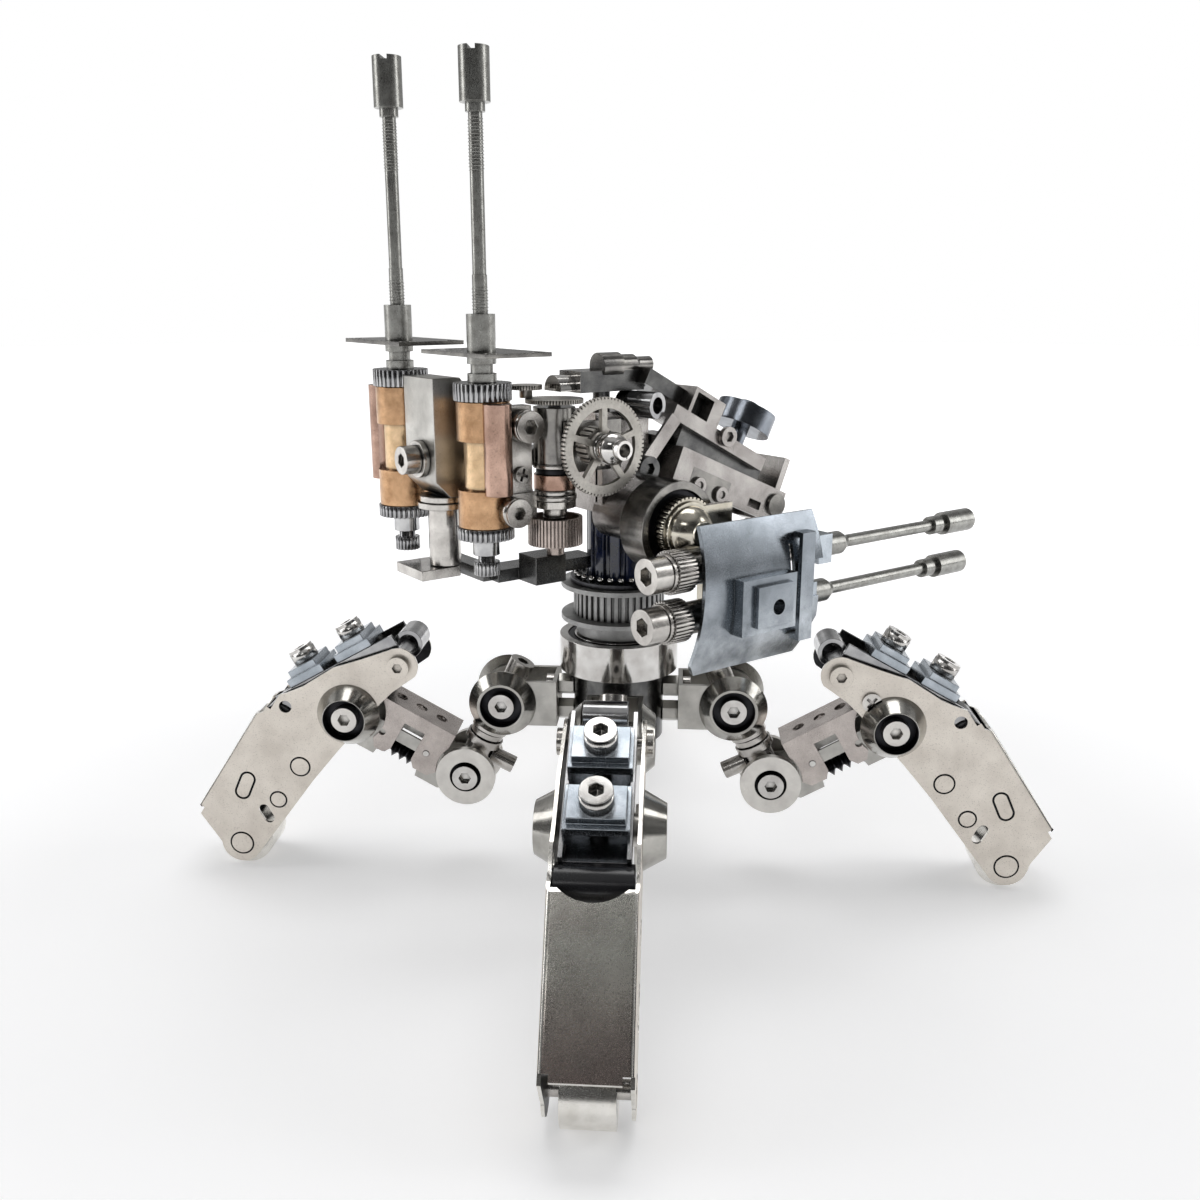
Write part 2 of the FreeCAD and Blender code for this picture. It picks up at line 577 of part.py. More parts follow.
def shin_clamps():
    """Channel rail with a rolled inner end, two clamp blocks and their cap screws."""
    slope = dim("clamp_slope")
    turn = FreeCAD.Rotation(Y_AXIS, slope)
    frame = FreeCAD.Placement(CLAMP_SCREWS[0], turn)
    spread = (CLAMP_SCREWS[1] - CLAMP_SCREWS[0]).Length
    half = dim("clamp_half")
    under_head = -dim("screw_head_length") / 2
    block_low = under_head - dim("clamp_thick")
    wall = dim("rail_wall")
    wall_tall = dim("rail_tall")
    rail_low = block_low - wall_tall
    inner_end = -12.0
    outer_end = dim("rail_end")
    length = outer_end - inner_end
    middle = (inner_end + outer_end) / 2
    rail = [block(length, 2 * half + 1.0, wall, V(middle, 0, rail_low + wall / 2))]
    for side in SIDES:
        rail.append(block(length, wall, wall_tall,
                          V(middle, side * (half + 0.5 - wall / 2), rail_low + wall_tall / 2)))
    hook_half = 5.0
    hook_centre = V(inner_end - 1.9, 0, rail_low + wall / 2)
    roll = ring("dims.hook_radius", "dims.hook_radius - 1.2", 2 * hook_half,
                hook_centre - Y_AXIS * hook_half, Y_AXIS)
    rail_body = cut(fuse(roll, *rail),
                    *[cylinder("dims.screw_hole_radius", 6, V(place, 0, rail_low - 3))
                      for place in (0, spread)],
                    cylinder("dims.hook_radius - 1.2", 2 * hook_half + 4,
                             hook_centre - Y_AXIS * (hook_half + 2), Y_AXIS),
                    cylinder("dims.inner_roller_radius + 0.1", 4 * half,
                             frame.inverse().multVec(INNER_ROLLER) - Y_AXIS * (2 * half), Y_AXIS))
    pieces = [rail_body]
    for place in (0, spread):
        thick = dim("clamp_thick")
        base = block("dims.clamp_length", 2 * half, thick * 0.55, V(place, 0, block_low + thick * 0.275))
        top = block(dim("clamp_length") - 2.6, 2 * half - 1.6, thick * 0.45,
                    V(place, 0, block_low + thick * 0.775))
        bore = cylinder("dims.screw_hole_radius", 8, V(place, 0, block_low - 1))
        pieces.append(cut(fuse(base, top), bore))
        pieces.append(cap_screw(V(place, 0, under_head), Z_AXIS, under_head - rail_low + 1.0))
    clamps = group(*pieces)
    clamps.Placement = frame
    return clamps


def shin_rollers():
    """Steel foot roller and the dark roller between the plates under the rail."""
    half = dim("foot_roller_half")
    roller = ring("dims.foot_roller_radius", "dims.screw_hole_radius", 2 * half,
                  foot - Y_AXIS * half, Y_AXIS)
    inner_half = dim("shin_half") - dim("shin_sheet") - 0.3
    drum = cylinder("dims.inner_roller_radius", 2 * inner_half, INNER_ROLLER - Y_AXIS * inner_half, Y_AXIS)
    return group(roller, drum)


LEGS = {"right": 0, "rear": 90, "left": 180, "front": 270}
for leg, turn in LEGS.items():
    node(hip_bracket(), f"{leg}_hip_bracket", turn)
    node(drop_link(), f"{leg}_drop_link", turn, LINK_FRAME)
    node(link_pivots(), f"{leg}_link_pivots", turn)
    node(thigh_channel(), f"{leg}_thigh_channel", turn, THIGH_FRAME)
    node(thigh_link(), f"{leg}_thigh_link", turn, THIGH_FRAME)
    node(spiral_screw(), f"{leg}_spiral_screw", turn, THIGH_FRAME)
    node(shin_shell(), f"{leg}_shin_shell", turn)
    node(shin_pins(), f"{leg}_shin_pins", turn)
    node(shin_clamps(), f"{leg}_shin_clamps", turn)
    node(shin_rollers(), f"{leg}_shin_rollers", turn)


# ------------------------------------------------------------------ hub

def hub_column():
    """Column that carries the four brackets, closed below by a plug."""
    bottom = dim("column_bottom")
    tall = dim("bearing_bottom") - bottom
    tube = ring("dims.column_radius", "dims.spindle_radius + 0.3", tall, V(0, 0, bottom))
    plug = cylinder(8.0, 2.4, V(0, 0, bottom - 2.4))
    return group(tube, plug)


def base_bearing():
    """Large ball bearing on the column: outer race, inner race and the seal between."""
    base = V(0, 0, dim("bearing_bottom"))
    tall = "dims.bearing_height"
    outer = ring("dims.bearing_radius", "dims.bearing_radius - 2.3", tall, base)
    inner = ring("dims.bearing_bore + 2.0", "dims.bearing_bore", tall, base)
    seal = ring("dims.bearing_radius - 2.4", "dims.bearing_bore + 2.1", dim("bearing_height") - 0.8,
                base + Z_AXIS * 0.4)
    return group(outer, inner, seal)


# ------------------------------------------------------------------ turret
# Turret coordinates before it is turned: +X along the guns, -Y on the gun side.

def toothed_wheel(name, tip_radius, depth, teeth, thick, width_share=0.5):
    """Disc centred on its axis with one groove repeated around it."""
    body = doc.addObject("PartDesign::Body", name)
    disc = body.newObject("Sketcher::SketchObject", "disc")
    disc.AttachmentSupport = (plane_of(body, "XY_Plane"), [""])
    disc.MapMode = "FlatFace"
    disc.addGeometry(Part.Circle(ORIGIN, Z_AXIS, tip_radius))
    pad = body.newObject("PartDesign::Pad", "pad")
    pad.Profile = disc
    pad.Length = thick
    groove_half = math.pi * tip_radius / teeth * width_share
    outline = [(tip_radius + 1, -groove_half * 1.5), (tip_radius + 1, groove_half * 1.5),
               (tip_radius - depth, groove_half * 0.55), (tip_radius - depth, -groove_half * 0.55)]
    sketch = profile(body, outline, {}, "XY_Plane")
    groove = body.newObject("PartDesign::Pocket", "groove")
    groove.Profile = sketch
    groove.SideType = "Symmetric"
    groove.Length = 4 * thick
    pattern = body.newObject("PartDesign::PolarPattern", "teeth")
    pattern.Originals = [groove]
    pattern.Axis = (plane_of(body, "Z_Axis"), [""])
    pattern.Angle = 360
    pattern.Occurrences = teeth
    body.Tip = pattern
    return body


def timing_pulley():
    """Toothed pulley between two flanges, on the collar that turns in the bearing."""
    bottom = dim("pulley_bottom")
    flange = dim("flange_thick")
    drum_tall = dim("pulley_height") - 2 * flange
    drum = toothed_wheel("drum", dim("tooth_tip_radius"), dim("tooth_depth"),
                         int(dim("pulley_teeth")), drum_tall)
    drum.Placement = FreeCAD.Placement(V(0, 0, bottom + flange), FreeCAD.Rotation())
    flanges = [cylinder("dims.flange_radius", "dims.flange_thick", V(0, 0, level))
               for level in (bottom, bottom + dim("pulley_height") - flange)]
    collar_bottom = dim("bearing_bottom") + 1.5
    collar = cylinder("dims.bearing_bore - 0.12", bottom - collar_bottom, V(0, 0, collar_bottom))
    shoulder = cylinder("dims.bearing_bore + 1.4", 4.0, V(0, 0, bottom - 4.0))
    spindle = cylinder("dims.spindle_radius", collar_bottom - dim("column_bottom") - 1.0,
                       V(0, 0, dim("column_bottom") + 1.0))
    return fuse(drum, collar, shoulder, spindle, *flanges)


def ball_race():
    """Dark ring on the pulley with a row of bearing balls on it."""
    base = dim("pulley_bottom") + dim("pulley_height")
    thick = 1.4
    pieces = [ring("dims.race_radius + 1.8", "dims.core_radius + 0.1", thick, V(0, 0, base))]
    count = int(dim("ball_count"))
    radius = dim("race_radius")
    for index in range(count):
        angle = 2 * math.pi * index / count
        centre = V(radius * math.cos(angle), radius * math.sin(angle), base + thick + dim("ball_radius"))
        pieces.append(ball("dims.ball_radius", centre))
    return group(*pieces)


def turret_core():
    """Dark finned core on the pulley."""
    base = dim("pulley_bottom") + dim("pulley_height")
    tall = dim("core_top") - base
    core = toothed_wheel("core", dim("core_radius"), 1.1, 12, tall, 0.4)
    core.Placement = FreeCAD.Placement(V(0, 0, base), FreeCAD.Rotation())
    return group(core)


def turret_frame():
    """Steel backbone: post above the core, arms to the pod, arm to the side bearing."""
    top = dim("core_top")
    side_arm = cylinder(6.2, 18.1, V(dim("gun_axis_along"), -6.0, dim("gun_axis_height")), Y_AXIS * -1)
    post = block(15, 13, 25, V(-5, 0, top + 12.5))
    upper_arm = block(17, 7.8, 4, V(-19.5, 3.6, top + 14.5))
    rear_arm = block(12.9, 9, 4, V(-31.95, 8.5, top + 14.5))
    lower_arm = block(30, 8, 3.2, V(-22, 5.0, 90.2))
    lower_leg = block(5, 25.8, 3.2, V(-37.0, 17.1, 90.2))
    foot_block = block(9, 8, 7, V(-26.5, -3.0, 92.1))
    shoulder_plate = block(14.6, 2.0, 23, V(-5.3, -8.5, top + 11.6))
    shape = fuse(post, side_arm, upper_arm, rear_arm, lower_arm, lower_leg, foot_block, shoulder_plate)
    sleeve_room = cylinder("dims.sleeve_neck_radius + 0.05", 10, pod_axes()[0] + Z_AXIS * 114)
    return cut(shape, cylinder("dims.core_radius + 0.02", 18.9, V(0, 0, 86)), sleeve_room)


POST = V(-24.3, -5.7, 0)
# radius, bottom and top of each ring on the post
POST_STACK = ((3.0, 105.5, 107.6), (5.2, 107.7, 109.6), (5.4, 109.7, 110.9), (5.1, 111.0, 112.2),
              (5.2, 112.3, 116.0), (4.6, 116.05, 117.4), (5.3, 117.5, 118.6), (5.2, 118.7, 132.2))
# offset on the post, bottom of the stub, bottom, radius and teeth of the two thin gears on top
THIN_GEARS = ((V(0.5, 0.6, 0), 132.3, 133.0, 7.1, 60), (V(-4.9, 4.9, 0), 134.2, 136.2, 4.0, 36))


def gearbox_post():
    """Vertical stack at the rear: knurled nut, washers, drum and two thin gears on top."""
    nut_bottom = 98.4
    nut_tall = 6.9
    rim_depth = 2.4
    nut = toothed_wheel("knurled_nut", 6.8, 0.35, 46, nut_tall)
    nut.Placement = FreeCAD.Placement(POST + Z_AXIS * nut_bottom, FreeCAD.Rotation())
    rim_floor = nut_bottom + nut_tall - rim_depth
    pieces = [cut(nut, cylinder(6.0, rim_depth + 1, POST + Z_AXIS * rim_floor)),
              cylinder(3.0, 105.4 - rim_floor - 0.05, POST + Z_AXIS * (rim_floor + 0.05)),
              cylinder(2.2, 2.7, POST + Z_AXIS * 95.65)]
    for radius, start, stop in POST_STACK:
        pieces.append(cylinder(radius, stop - start, POST + Z_AXIS * start))
    for offset, stub_bottom, level, radius, teeth in THIN_GEARS:
        wheel = toothed_wheel("thin_gear", radius, 0.5, teeth, 1.1)
        wheel.Placement = FreeCAD.Placement(POST + offset + Z_AXIS * level, FreeCAD.Rotation())
        stub = cylinder(1.6, level - stub_bottom, POST + offset + Z_AXIS * stub_bottom)
        pieces.append(fuse(wheel, stub))
    return group(*pieces)


def spoked_gear():
    """Thin gear with five spokes, a domed hub and a small pinion behind it."""
    radius = dim("gear_radius")
    wheel = toothed_wheel("wheel", radius, 0.55, int(dim("gear_teeth")), 1.3)
    spokes = 5
    gap = ring(radius - 2.6, 3.6, 3, V(0, 0, -0.8))
    arms = []
    for index in range(spokes):
        angle = 360.0 * index / spokes + 18
        arm = block(radius, 1.5, 5, V(radius / 2, 0, 0.6))
        arm.Placement = FreeCAD.Placement(ORIGIN, FreeCAD.Rotation(Z_AXIS, angle)) * arm.Placement
        arms.append(arm)
    windows = cut(gap, *arms)
    ball_level = 4.2
    hub = fuse(cylinder(3.2, 1.8, ORIGIN), ball(3.9, Z_AXIS * ball_level),
               cylinder(2.3, 9.0 - ball_level, Z_AXIS * ball_level))
    pinion = toothed_wheel("pinion", 4.6, 0.6, 20, 4.0)
    pinion.Placement = FreeCAD.Placement(V(0, 0, -4.0), FreeCAD.Rotation())
    turned = cut(fuse(cut(wheel, windows), hub, pinion), cylinder(1.56, 16, V(0, 0, -5)))
    turned.Placement = aimed(V(dim("gear_along"), dim("gear_side"), dim("gear_height")), Y_AXIS * -1)
    return turned


def gear_axle():
    """Fixed axle of the spoked gear and its bracket on the post."""
    at = V(dim("gear_along"), dim("gear_side"), dim("gear_height"))
    axle = cylinder(1.5, 17.5, at + Y_AXIS * 11.5, Y_AXIS * -1)
    bracket = block(15, 2.2, 12, V(-18.0, -12.4, dim("gear_height") - 1))
    tie = block(3.0, 3.9, 12, V(-11.2, -11.47, dim("gear_height") - 1))
    return cut(fuse(axle, bracket, tie), cylinder("dims.post_room", 34, POST + Z_AXIS * 103))


def side_bearing():
    """Ball bearing on the side arm that the gun cradle turns in."""
    at = V(dim("gun_axis_along"), -24.2, dim("gun_axis_height"))
    out = Y_AXIS * -1
    wide = 8.6
    outer = ring(11.3, 9.3, wide, at, out)
    seal = ring(9.2, 6.9, wide - 1.2, at + out * 0.4, out)
    inner = ring(6.8, 4.9, wide, at, out)
    return group(outer, seal, inner)


def gun_cradle():
    """Trunnion in the side bearing, knurled ring, dome nut and the plate that holds both guns."""
    at = V(dim("gun_axis_along"), -24.0, dim("gun_axis_height"))
    out = Y_AXIS * -1
    trunnion = cylinder(4.8, 8.4, at + out * 1.6, out)
    knurl = toothed_wheel("knurled_ring", 8.0, 0.45, 40, 3.0)
    knurl.Placement = aimed(at + out * 9.2, out)
    round_end = cut(ball(6.2, at + out * 11.9), cylinder(7.0, 9.5, at, out))
    dome = fuse(cylinder(6.9, 0.8, at + out * 12.2, out), round_end, cylinder(3.0, 6.0, at + out * 11.9, out))
    upper_gun = V(dim("gun_rear"), dim("gun_side"), dim("upper_gun_height"))
    outer_end = cut(fuse(knurl, dome), cylinder(5.3, 40, upper_gun, X_AXIS),
                    block(10, 8, 9, upper_gun + V(21.0, 0.4, 0)))
    plate = block(9, 2.0, 30, V(dim("gun_axis_along") + 9, -35.6, 95.0))
    bridge = block(14, 2.0, 8, V(dim("gun_axis_along") + 5, -35.6, dim("gun_axis_height") + 0.5))
    pieces = [fuse(trunnion, outer_end, plate, bridge)]
    for level in (dim("upper_gun_height"), dim("lower_gun_height")):
        clamp = block(9, 7.6, 8.4, V(dim("gun_axis_along") + 9, dim("gun_side") + 0.5, level))
        bore = cylinder(2.56, 12, V(dim("gun_axis_along") + 3, dim("gun_side"), level), X_AXIS)
        pieces.append(cut(clamp, bore))
    return group(*pieces)


def gun_barrels():
    """Two rods with a socket head at the rear, a knurled collar and a cap at the tip."""
    pieces = []
    for level in (dim("upper_gun_height"), dim("lower_gun_height")):
        rear = V(dim("gun_rear") - (0 if level > 90 else 1.0), dim("gun_side"), level)
        back = X_AXIS * -1
        square_start = rear + X_AXIS * (47.4 if level > 90 else 43.6)
        square_long = 4.6
        shank = (square_start - rear).Length - 0.05
        screw = fuse(cylinder(4.25, 5.0, rear, back), cylinder(2.5, shank, rear, X_AXIS))
        screw = cut(screw, hex_prism(2.3, 3.2, rear + back * 2.4, back))
        collar = ring(4.6, 2.56, 1.0, rear + X_AXIS * 0.05, X_AXIS)
        knurl = toothed_wheel("knurled_collar", 5.2, 0.4, 32, 5.4)
        knurl.Placement = aimed(rear + X_AXIS * 1.1, X_AXIS)
        knurl_ring = cut(knurl, cylinder(2.56, 7, rear + X_AXIS * 0.6, X_AXIS))
        sleeve = ring(3.9, 2.56, 7.8, rear + X_AXIS * 6.7, X_AXIS)
        square = block(square_long, 7.4, 7.4, square_start + X_AXIS * (square_long / 2))
        front = square_start + X_AXIS * square_long
        standoff = fuse(square, cylinder(3.0, 6.0, front, X_AXIS),
                        cone(3.0, 1.7, 2.4, front + X_AXIS * 6.0, X_AXIS))
        tip = V(dim("gun_tip") - (0 if level > 90 else 2.4), dim("gun_side"), level)
        rod_length = (tip - front).Length - 14.0
        rod = cylinder(1.6, rod_length, front + X_AXIS * 6.0, X_AXIS)
        collar_two = cylinder(2.5, 3.4, tip - X_AXIS * 10.4, X_AXIS)
        neck = cylinder(1.9, 3.0, tip - X_AXIS * 7.2, X_AXIS)
        cap = cylinder(3.15, 11.0, tip - X_AXIS * 5.2, X_AXIS)
        pieces += [screw, collar, knurl_ring, sleeve, fuse(standoff, rod, collar_two, neck, cap)]
    return group(*pieces)


def shield_plate():
    """Curved armour plate with a raised folded tab and an arched strap between two slots."""
    arc_depth = 4.2
    face = -47.6
    body = doc.addObject("PartDesign::Body", "shield")
    outline = [(face + arc_depth, 107), (face + arc_depth + 1.0, 106.6), (face + arc_depth + 1.2, 71.4),
               (face + arc_depth + 0.2, 71)]
    padded(body, outline, 90, {0: (face + arc_depth + 0.6, 107.0), 1: (face + 1.0, 89.0),
                               3: (face, 89.0)}, "YZ_Plane")
    shape = doc.addObject("PartDesign::Body", "shield_outline")
    padded(shape, [(-9.6, 110), (26.8, 110), (27.8, 95.3), (22.9, 95.3), (22.9, 86.0), (26.4, 86.0),
                   (26.8, 80.5), (22.0, 70), (-10.0, 70), (-12.6, 74.0)], 120)
    plate = doc.addObject("Part::Common", "common")
    plate.Base = body
    plate.Tool = shape
    tab_centre = V(6.6, face - 0.9, 87.4)
    tab = block(17.5, 4.2, 13.6, tab_centre)
    tab_top = block(11.5, 1.6, 10.0, tab_centre + V(0.8, -2.6, 0))
    strap = block(4.4, 1.2, 27.0, V(20.1, face - 1.3, 89.5))
    strap_ends = [block(4.4, 3.0, 1.4, V(20.1, face - 0.2, level)) for level in (102.4, 76.8)]
    slots = [block(wide, 8, 21.0, V(place, face + 0.5, 89.5)) for place, wide in ((17.2, 1.3), (22.9, 1.2))]
    bore = cylinder(1.9, 9, V(8.4, face - 5, 86.8), Y_AXIS)
    shield = cut(fuse(plate, tab, tab_top, strap, *strap_ends), bore, *slots)
    return shield


def shield_mounts():
    """Standoffs between the gun clamps and the shield, and the hexagon head above it."""
    pieces = []
    for level in (dim("upper_gun_height") - 1.0, dim("lower_gun_height") - 1.0):
        pieces.append(cylinder(1.8, 1.25, V(dim("gun_axis_along") + 9, dim("gun_side") - 3.35, level), Y_AXIS * -1))
    pieces.append(hex_prism(3.4, 2.6, V(12.0, -39.8, 103.0), Z_AXIS))
    return group(*pieces)


def pod_axes():
    return (V(dim("pod_right_along"), dim("pod_right_side"), dim("pod_right_lift")),
            V(dim("pod_left_along"), dim("pod_left_side"), dim("pod_left_lift")))


def pod_sleeves():
    """Brass sleeves, each with a narrower waist, on a central stud."""
    pieces = []
    for axis in pod_axes():
        shape = fuse(cylinder("dims.sleeve_radius", 9.2, axis + Z_AXIS * 102.0),
                     cylinder("dims.sleeve_neck_radius", 11.9, axis + Z_AXIS * 111.1),
                     cylinder("dims.sleeve_radius - 0.1", 9.4, axis + Z_AXIS * 122.8))
        pieces.append(cut(shape, cylinder("dims.screw_hole_radius", 40, axis + Z_AXIS * 99)))
    return group(*pieces)


def pod_rings():
    """Knurled rings above and below each sleeve, collar and small thumb nut underneath."""
    pieces = []
    for axis in pod_axes():
        for level, tall in ((98.9, 3.0), (132.3, 4.2)):
            wheel = toothed_wheel("knurled_ring", dim("pod_gear_radius"), 0.5, 34, tall)
            wheel.Placement = FreeCAD.Placement(axis + Z_AXIS * level, FreeCAD.Rotation())
            pieces.append(cut(wheel, cylinder("dims.screw_hole_radius", 8, axis + Z_AXIS * (level - 1))))
        collar = ring(3.3, "dims.screw_hole_radius", 4.0, axis + Z_AXIS * 94.8)
        thumb = toothed_wheel("thumb_nut", 3.2, 0.3, 20, 3.4)
        thumb.Placement = FreeCAD.Placement(axis + Z_AXIS * 89.7, FreeCAD.Rotation())
        neck = cylinder(2.1, 1.7, axis + Z_AXIS * 93.1)
        pieces += [collar, fuse(thumb, neck)]
    return group(*pieces)


def pod_plates():
    """Thin plate with four holes on each pod barrel."""
    pieces = []
    for axis in pod_axes():
        plate = block(18, 30.8, 1.0, axis + V(3, 3.5, dim("plate_height") + 0.5))
        holes = [cylinder(1.7, 4, axis + V(3 + 6.4 * x, 3.5 + 13.4 * y, dim("plate_height") - 1))
                 for x in SIDES for y in SIDES]
        plate_cut = cut(plate, cylinder("dims.screw_hole_radius", 4, axis + Z_AXIS * (dim("plate_height") - 1)),
                        *holes)
        pieces.append(plate_cut)
    return group(*pieces)


def antenna(axis):
    """Stud through a pod barrel, neck, standoff, threaded rod and a slotted cap."""
    plate_top = dim("plate_height") + 1.0
    stud = cylinder("dims.screw_radius", plate_top + 4 - 94.9, axis + Z_AXIS * 94.9)
    neck = cylinder(3.5, dim("plate_height") - 136.6, axis + Z_AXIS * 136.6)
    waist = ring(4.2, 2.7, 2.2, axis + Z_AXIS * 138.6)
    standoff = cylinder(3.4, 8.6, axis + Z_AXIS * plate_top)
    lower_rod = cylinder(1.75, 9.0, axis + Z_AXIS * (plate_top + 8.4))
    rod = cylinder("dims.rod_radius", 196.2 - 159, axis + Z_AXIS * 159)
    collar = cylinder(2.25, 2.2, axis + Z_AXIS * 196.0)
    cap = cylinder("dims.cap_radius", dim("cap_top") - dim("rod_top"), axis + Z_AXIS * dim("rod_top"))
    slot = block(1.7, 8, 2.0, ORIGIN)
    slot_turn = FreeCAD.Rotation(Z_AXIS, -dim("turret_yaw"))
    slot.Placement = FreeCAD.Placement(axis + Z_AXIS * dim("cap_top"), slot_turn) * slot.Placement
    return cut(fuse(stud, cut(neck, waist), standoff, lower_rod, rod, collar, cap), slot)


COPPER = V(-40.8, -6.45, 0)


def pod_clamp():
    """Block between the pod barrels, half-round tube clamps beside them and cap screws."""
    body = doc.addObject("PartDesign::Body", "pod_block")
    padded(body, [(-49.5, 114), (-45.5, 110), (-38.5, 110), (-38.5, 135), (-42, 139), (-49.5, 139)], 15.0)
    body.Placement = FreeCAD.Placement(V(0, 16.1, 0), FreeCAD.Rotation())
    drilled = cut(body, cylinder("dims.screw_hole_radius", 8, V(-42.5, 15.5, 119.2), X_AXIS * -1))
    pieces = [drilled, cap_screw(V(-51.2, 15.5, 119.2), X_AXIS * -1, 7.0)]
    pieces.append(ring(4.6, "dims.screw_hole_radius", 1.6, V(-49.55, 15.5, 119.2), X_AXIS * -1))
    right, left = pod_axes()
    right_clamp = cylinder("dims.copper_radius", 21.6, COPPER + Z_AXIS * 112.2)
    left_clamp = cylinder(3.0, 24.2, left + V(-2.6, 6.8, 108.0))
    clear = [cylinder("dims.sleeve_radius + 0.05", 46, axis + Z_AXIS * 96) for axis in (right, left)]
    pieces.append(cut(right_clamp, clear[0]))
    pieces.append(cut(left_clamp, clear[1]))
    return group(*pieces)


def pod_bridge():
    """Upright bar with two cap screws and a cross screw that ties the pod to the backbone."""
    face = -5.2
    thick = 4.0
    bar = block(7.4, thick, 26.6, V(-34.2, face + thick / 2, 119.5))
    foot_bar = block(12.6, thick, 7.9, V(-34.6, face + thick / 2 - 0.7, 107.95))
    shelf = block(5.9, 5.2, 6.0, V(-31.0, 1.3, 119.0))
    right = pod_axes()[0]
    copper_room = cylinder("dims.copper_radius + 0.03", 40, COPPER + Z_AXIS * 100.0)
    sleeve_room = cylinder("dims.sleeve_radius + 0.05", 46, right + Z_AXIS * 96)
    post_room = cylinder("dims.post_room", 40, POST + Z_AXIS * 97)
    nut_room = cylinder(6.9, 7.1, POST + Z_AXIS * 98.3)
    high = V(-33.5, face - 0.05, 128.1)
    low = V(-37.2, face - 0.75, 107.9)
    bores = [cylinder("dims.screw_hole_radius", 9, under + Y_AXIS * 5, Y_AXIS * -1) for under in (high, low)]
    pieces = [cut(fuse(bar, foot_bar, shelf), copper_room, sleeve_room, post_room, nut_room, *bores),
              cap_screw(high, Y_AXIS * -1, 1.2, 1.1),
              cap_screw(low, Y_AXIS * -1, 0.0)]
    small = V(-33.8, face - 0.02, 116.4)
    bars = [block(3.2, 1.4, 0.7, small - Y_AXIS * 0.9, tilt) for tilt in (20, 110)]
    pieces.append(cut(cylinder(1.9, 0.9, small, Y_AXIS * -1), *bars))
    for radius, level in ((6.6, 106.6), (6.0, 108.2)):
        pieces.append(cylinder(radius, 1.5, V(-43.6, 16.0, level)))
    pieces.append(cylinder(4.0, 14.6, V(-43.6, 16.0, 91.8)))
    pieces.append(block(11.0, 14.0, 2.6, V(-47.0, 19.0, 90.3)))
    return group(*pieces)


def hood_arms():
    """Hinge-arm hood that slopes down to the front: block, upper bar, lower arm, end plate."""
    centre = -12.0
    upper = block(35, 12.0, 3.6, V(19.0, centre, 122.4), 27.5)
    square = cut(block(11.0, 12.0, 9.0, V(13.6, centre, 129.6), 27.5),
                 block(6.0, 8.0, 6.6, V(12.4, centre - 6.0, 130.4), 27.5))
    filler = block(31.0, 8.0, 8.0, V(21.0, centre + 1.0, 115.9), 25.5)
    lower = block(40, 13.4, 9.0, V(22.6, centre, 109.6), 23)
    lower_room = block(34, 11.6, 9.0, V(21.0, centre, 107.6), 23)
    end = block(2.0, 13.4, 15.0, V(40.0, centre, 108.4), 23)
    link = block(6.0, 9.0, 12.0, V(5.6, -7.5, 118.0))
    strap = block(3.6, 0.9, 17.0, V(-2.2, centre - 6.35, 122.6), 42)
    lobe = block(14.0, 0.9, 7.5, V(14.6, centre - 6.3, 109.9), 23)
    slot = block(4.6, 20, 2.2, V(31.0, centre, 104.2), 23)
    end_boss = cylinder(3.0, 15.4, V(38.6, centre + 7.7, 103.2), Y_AXIS * -1)
    arm = cut(fuse(lower, end_boss), lower_room, slot)
    return group(fuse(upper, square, filler, link, strap, lobe, arm, end))


def hood_fasteners():
    """Round screws, rivets, the tilted knob and the stepped tubes on top of the hood."""
    centre = -12.0
    out = Y_AXIS * -1
    side = centre - 6.7
    pieces = []
    for along, level in ((10.9, 111.3), (18.5, 108.1)):
        rivet = cylinder(2.1, 1.0, V(along, side - 0.08, level), out)
        pieces.append(cut(rivet, cylinder(1.0, 1.0, V(along, side - 0.6, level), out)))
    strap_screw = V(-6.9, side - 0.12, 117.3)
    pieces.append(cut(cylinder(3.1, 2.6, strap_screw, out), hex_prism(1.5, 1.4, strap_screw + out * 1.5, out)))
    small_screw = V(20.8, centre - 6.02, 122.9)
    pieces.append(cut(cylinder(2.6, 1.4, small_screw, out), hex_prism(1.4, 1.4, small_screw + out * 0.5, out)))
    lean = V(math.sin(math.radians(27.5)), 0, math.cos(math.radians(27.5)))
    knob_base = V(29.0, centre, 119.6)
    pieces.append(fuse(cylinder(2.4, 6.0, knob_base, lean), cylinder(8.0, 5.8, knob_base + lean * 4.6, lean),
                       cylinder(2.6, 1.6, knob_base + lean * 10.4, lean)))
    return group(*pieces)


def hood_top():
    """Stepped tube on its block, a half-round piece behind it and the threaded standoff."""
    block_item = block(19.4, 9.0, 5.1, V(-10.1, -6.0, 137.95))
    slope = block(12.6, 10.0, 4.0, V(3.6, -9.0, 136.2), 27.5)
    pillar = cylinder(2.2, 5.4, V(-8.5, -3.5, 130.0))
    tube = fuse(cylinder(3.3, 6.0, V(-13.0, -8.0, 141.4), X_AXIS),
                cylinder(2.7, 4.6, V(-7.0, -8.0, 141.4), X_AXIS),
                cone(2.7, 2.0, 1.2, V(-2.4, -8.0, 141.4), X_AXIS),
                cylinder(2.0, 4.2, V(-1.2, -8.0, 141.4), X_AXIS))
    half_round = cut(cylinder(3.6, 5.0, V(-24.2, -5.0, 136.0), X_AXIS),
                     block(9, 9, 5, V(-21.0, -5.0, 133.3)))
    return group(fuse(block_item, slope, pillar, tube, half_round))


def threaded_standoff():
    """Open M4 standoff that points to the right of the guns."""
    angle = math.radians(dim("standoff_angle"))
    aim = V(math.cos(angle), math.sin(angle), 0)
    start = V(dim("standoff_along"), dim("standoff_side"), dim("standoff_height"))
    return ring("dims.standoff_radius", "dims.screw_radius", "dims.standoff_length", start, aim)


